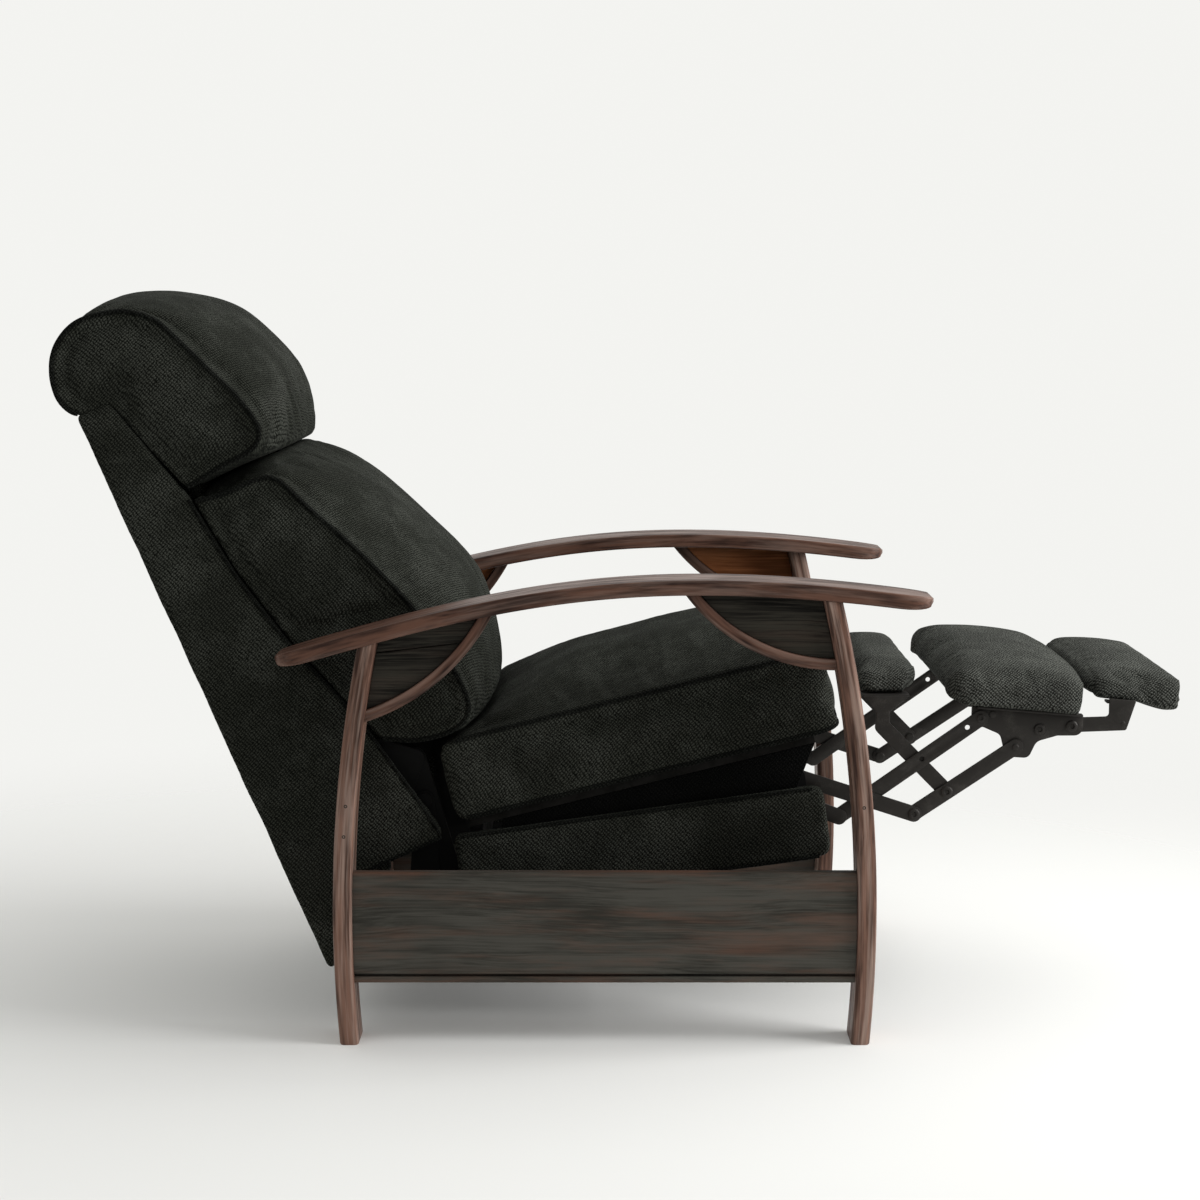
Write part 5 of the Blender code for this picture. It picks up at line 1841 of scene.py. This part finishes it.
@dataclass
class Linkage:
    """Footrest links, brackets and rivets of one side."""

    shop: Workshop
    side: Side
    half: float = 0.011
    lower: Point = (0.2593, 0.3485)
    crank: Point = (0.1998, 0.3358)
    long_tail: Point = (0.3220, 0.290)
    long_tip: Point = (0.5200, 0.430)
    carrier_tail: Point = (0.4270, 0.294)
    carrier_tip: Point = (0.5690, 0.389)
    cross_pin: Point = (0.47338, 0.32503)
    knee: Point = (0.3830, 0.417)
    bolt: Point = (0.6030, 0.4135)
    spare_bolt: Point = (0.5370, 0.4350)
    toe: Point = (0.6480, 0.418)
    toe_dimple: Point = (0.7210, 0.4210)
    bracket_corners: tuple[tuple[float, float, float], ...] = (
        (0.5075, 0.4468, 0.003), (0.6640, 0.4342, 0.003), (0.6640, 0.4045, 0.012), (0.6280, 0.4045, 0.020),
        (0.5990, 0.3960, 0.014), (0.5880, 0.3725, 0.010), (0.5555, 0.3745, 0.011), (0.5480, 0.4060, 0.012),
        (0.5240, 0.4165, 0.012), (0.5070, 0.4185, 0.010))
    toe_corners: tuple[tuple[float, float, float], ...] = (
        (0.6372, 0.4080, 0.010), (0.7255, 0.4112, 0.004), (0.7390, 0.4530, 0.002), (0.7010, 0.4565, 0.002),
        (0.7010, 0.4308, 0.005), (0.6372, 0.4288, 0.010))
    layers: tuple[Span, ...] = ((0.2316, 0.2356), (0.2272, 0.2312), (0.2228, 0.2268), (0.2184, 0.2224))
    neck_half: float = 0.0095
    hole_radius: float = 0.0036
    hole_places: tuple[float, ...] = (0.585, 0.905)
    middle_flange: Span = (0.010, 0.075)
    main_flange: Span = (0.048, 0.196)
    toe_flange: Span = (0.026, 0.064)
    flange_heights: Span = (-0.0033, -0.0003)

    def build(self) -> None:
        """Build the steelwork of this side."""
        first, second, third, fourth = self.layers
        self.strap("lower_link", Body.LOWER_LINKS, first, [capsule(self.lower, self.carrier_tail, self.half)])
        self.strap("crank", Body.CRANKS, first, [capsule(self.crank, self.long_tail, self.half)])
        self.strap("carrier_link", Body.CARRIERS, second, [capsule(self.carrier_tail, self.carrier_tip, self.half)])
        ends = (self.long_tail, self.long_tip)
        holes = [circle(part_way(*ends, share), self.hole_radius, 16) for share in self.hole_places]
        self.strap("long_link", Body.LONG_LINKS, second, [capsule(*ends, self.half)], holes=holes)
        self.cross_link(third)
        self.bracket(third)
        self.toe_arm(fourth)
        self.rivets()

    def strap(self, word: str, body: Body, layer: Span, outlines: Sequence[Outline],
              flanges: Sequence[tuple[Outline, Span]] = (), holes: Sequence[Outline] = ()) -> None:
        """Flat steel part with eased edges.

        Args:
            word: CAD node's name without its side.
            body: Body that it rides on.
            layer: Distances of its faces from the centre plane.
            outlines: Outlines that overlap to make it.
            flanges: Turned edges, each an outline with its own distances.
            holes: Outlines of through holes.
        """
        form = Form()
        form.plate(outlines, *self.side.span(*layer), holes)
        for outline, span in flanges:
            form.prism(outline, *self.side.span(*span), PLATE_EASE, 2)
        name = self.side.word + "_" + word
        self.shop.piece(name + "_steel", form, body, self.shop.finishes.steel, (name,))

    def turned_edge(self, board: tuple[Point, float], first: float, last: float) -> Outline:
        """Outline of a flange that lies flat under a board."""
        low, high = self.flange_heights
        return [tilted(*board, s, n) for s, n in ((first, low), (last, low), (last, high), (first, high))]

    def cross_link(self, layer: Span) -> None:
        """Cranked cross link with a flange that carries the middle pad.

        Args:
            layer: Distances of its faces from the centre plane.
        """
        ends = [tilted(*MIDDLE_BOARD, s, -0.0018) for s in self.middle_flange]
        neck = (self.knee[0], ends[0][1] - 0.018)
        outlines = [capsule(self.knee, self.cross_pin, self.half), capsule(self.knee, neck, self.neck_half)]
        outlines.append(hull(ends, circle(neck, self.neck_half)))
        flange = (self.turned_edge(MIDDLE_BOARD, *self.middle_flange), (layer[0] - 0.033, layer[0] + 0.0005))
        self.strap("cross_link", Body.CROSS_LINKS, layer, outlines, (flange,))

    def bracket(self, layer: Span) -> None:
        """Footrest bracket: a nose for the long link, a foot for the carrier link and an end for the toe arm.

        Args:
            layer: Distances of its faces from the centre plane.
        """
        outline = rounded(self.bracket_corners, 6)
        flange = (self.turned_edge(MAIN_BOARD, *self.main_flange), (layer[1] - 0.0005, layer[1] + 0.014))
        self.strap("footrest_bracket", Body.FOOTREST, layer, [outline], (flange,))

    def toe_arm(self, layer: Span) -> None:
        """Arm that swings the toe pad out."""
        flange = (self.turned_edge(TOE_BOARD, *self.toe_flange), (layer[0] - 0.022, layer[0] + 0.0005))
        self.strap("toe_arm", Body.TOE_FLAP, layer, [rounded(self.toe_corners, 6)], (flange,))

    def rivets(self) -> None:
        """Rivet and bolt heads on both faces of the links."""
        first, second, third, fourth = self.layers
        heads: dict[Body, list[tuple[Point, float, int, float, float]]] = {
            Body.LOWER_LINKS: [(self.carrier_tail, first[1], 1, 0.0084, 0.0024)],
            Body.CARRIERS: [(self.cross_pin, second[1], 1, 0.0084, 0.0024),
                            (self.carrier_tip, second[1], 1, 0.0046, 0.0016),
                            (self.carrier_tail, second[0], -1, 0.0076, 0.0020)],
            Body.CROSS_LINKS: [(self.cross_pin, third[0], -1, 0.0076, 0.0020)],
            Body.LONG_LINKS: [(self.long_tip, second[1], 1, 0.0062, 0.0018)],
            Body.FOOTREST: [(self.bolt, third[1], 1, 0.0082, 0.0030), (self.spare_bolt, third[1], 1, 0.0050, 0.0016),
                            (self.long_tip, third[0], -1, 0.0076, 0.0020)],
            Body.TOE_FLAP: [(self.toe, third[1], 1, 0.0084, 0.0030), (self.toe_dimple, fourth[1], 1, 0.0030, 0.0008),
                            (self.toe, fourth[0], -1, 0.0076, 0.0020)],
        }
        for body, spots in heads.items():
            form = Form()
            for at, y, out, radius, height in spots:
                dimple = radius * 0.45 if height > 0.0017 and out > 0 else 0.0
                form.dome(at, self.side.value * y, out * self.side.value, radius, height, dimple)
            name = self.side.word + "_" + body.value + "_rivets"
            self.shop.piece(name, form, body, self.shop.finishes.steel)


# Studio

@dataclass
class Studio:
    """Pale floor, soft light and the camera."""

    camera_place: tuple[float, float, float] = (-0.023, -3.945, 1.037)
    camera_drop: float = 6.76
    lens: float = 80.49
    backdrop: Colour = (0.90, 0.90, 0.875)
    ambient: float = 0.40
    wall: float = 0.60
    floor_colour: Colour = (0.92, 0.92, 0.90)
    floor_glow: float = 0.075
    floor_middle: float = -0.25
    fade: Span = (0.4, 2.2)

    def build(self) -> None:
        """Build the studio."""
        self.floor()
        self.world()
        self.light("key_light", (2.6, -0.6, 1.5), (0.0, 0.0, 0.45), 2.0, 84.0)
        self.light("top_light", (0.1, -0.2, 3.6), (0.1, 0.0, 0.0), 4.5, 26.0)
        self.camera()

    def floor(self) -> None:
        """Round floor that fades into the backdrop."""
        mesh = bpy.data.meshes.new("studio_floor")
        bm = bmesh.new()
        bmesh.ops.create_circle(bm, cap_ends=True, segments=96, radius=9.0)
        bm.to_mesh(mesh)
        bm.free()
        made = placed("studio_floor", mesh)
        tree = Tree(bpy.data.materials.new("pale_floor"))
        x, y, _ = tree.split(tree.place())
        x = x - self.floor_middle
        away = (x * x + y * y).maths("SQRT")
        colour = (*self.floor_colour, 1.0)
        tree.surface({"Base Color": colour, "Roughness": 0.85, "Specular IOR Level": 0.1,
                      "Emission Color": colour, "Emission Strength": self.floor_glow})
        clear = tree.node("ShaderNodeBsdfTransparent")
        tree.show(tree.node("ShaderNodeMixShader", inputs={
            0: away.between(*self.fade), 1: tree.shader.outputs[0], 2: clear.outputs[0]}))
        mesh.materials.append(tree.owner)

    def world(self) -> None:
        """Surrounding light, stronger from behind, with a pale even backdrop."""
        world = bpy.data.worlds.new("studio")
        bpy.context.scene.world = world
        tree = Tree(world, "ShaderNodeBackground", "ShaderNodeOutputWorld")
        colour = (*self.backdrop, 1.0)
        tree.surface({"Color": colour})
        _, y, _ = tree.split(tree.place("Generated"))
        strength = tree.node("ShaderNodeMapRange", inputs={
            0: y, 1: 0.1, 2: 0.7, 3: self.ambient, 4: self.ambient + self.wall})
        lighting = tree.node("ShaderNodeBackground", inputs={"Color": colour, "Strength": strength.outputs[0]})
        path = tree.node("ShaderNodeLightPath")
        tree.show(tree.node("ShaderNodeMixShader", inputs={
            0: path.outputs["Is Camera Ray"], 1: lighting.outputs[0], 2: tree.shader.outputs[0]}))
        bpy.context.scene.view_settings.view_transform = "Standard"

    @staticmethod
    def light(name: str, place: Sequence[float], target: Sequence[float], size: float, power: float) -> None:
        """Square soft light.

        Args:
            name: The light's name.
            place: Where it hangs.
            target: What it faces.
            size: Its side.
            power: Its power in watts.
        """
        data = bpy.data.lights.new(name, "AREA")
        data.shape = "SQUARE"
        data.size = size
        data.energy = power
        made = placed(name, data)
        made.location = place
        made.rotation_euler = (Vector(target) - Vector(place)).to_track_quat("-Z", "Y").to_euler()

    def camera(self) -> None:
        """Camera at the photograph's viewing angle."""
        data = bpy.data.cameras.new("camera")
        data.sensor_width = 36.0
        data.lens = self.lens
        made = placed("camera", data)
        made.location = self.camera_place
        made.rotation_euler = (math.radians(90.0 - self.camera_drop), 0.0, 0.0)
        bpy.context.scene.camera = made


def main() -> None:
    """Build every sub-assembly in order."""
    logging.basicConfig(level=logging.INFO, format="%(name)s: %(message)s")
    shop = Workshop(frame)
    sewing = Upholstery(shop)
    Studio().build()
    for side in Side:
        SideFrame(shop, side).build()
        Linkage(shop, side).build()
        inside = ("base_rail", "seat_plate", "back_bracket", "recline_link")
        # Inner steel parts are near-black: painted shade.
        shop.dress(shop.finishes.black_steel, *(side.word + "_" + name for name in inside))
    # The torque tube is near-black too: painted shade.
    shop.dress(shop.finishes.black_steel, "torque_tube")
    # The deck and the rails under the seat are near-black: painted shade.
    shop.dress(shop.finishes.deck_wood_painted_shade, "seat_deck", "front_cross_rail", "rear_cross_rail", "rear_seat_rail")
    Seat(shop, sewing).build()
    Back(shop, sewing).build()
    Pad(shop, sewing, "footrest", Body.FOOTREST, MAIN_BOARD, length=0.2046, half=0.255, height=0.0503,
        crown=0.016, proud=0.007, lip=0.005, lip_start=0.150).build()
    Pad(shop, sewing, "toe", Body.TOE_FLAP, TOE_BOARD, length=0.143, half=0.2105, height=0.0353,
        crown=0.010, proud=0.022, lip=0.019, lip_start=0.070).build()
    Pad(shop, sewing, "middle", Body.CROSS_LINKS, MIDDLE_BOARD, length=0.098, half=0.2145, height=0.0333,
        crown=0.007, proud=0.018, lip=0.002, lip_start=0.080).build()


if __name__ == "__main__":
    main()
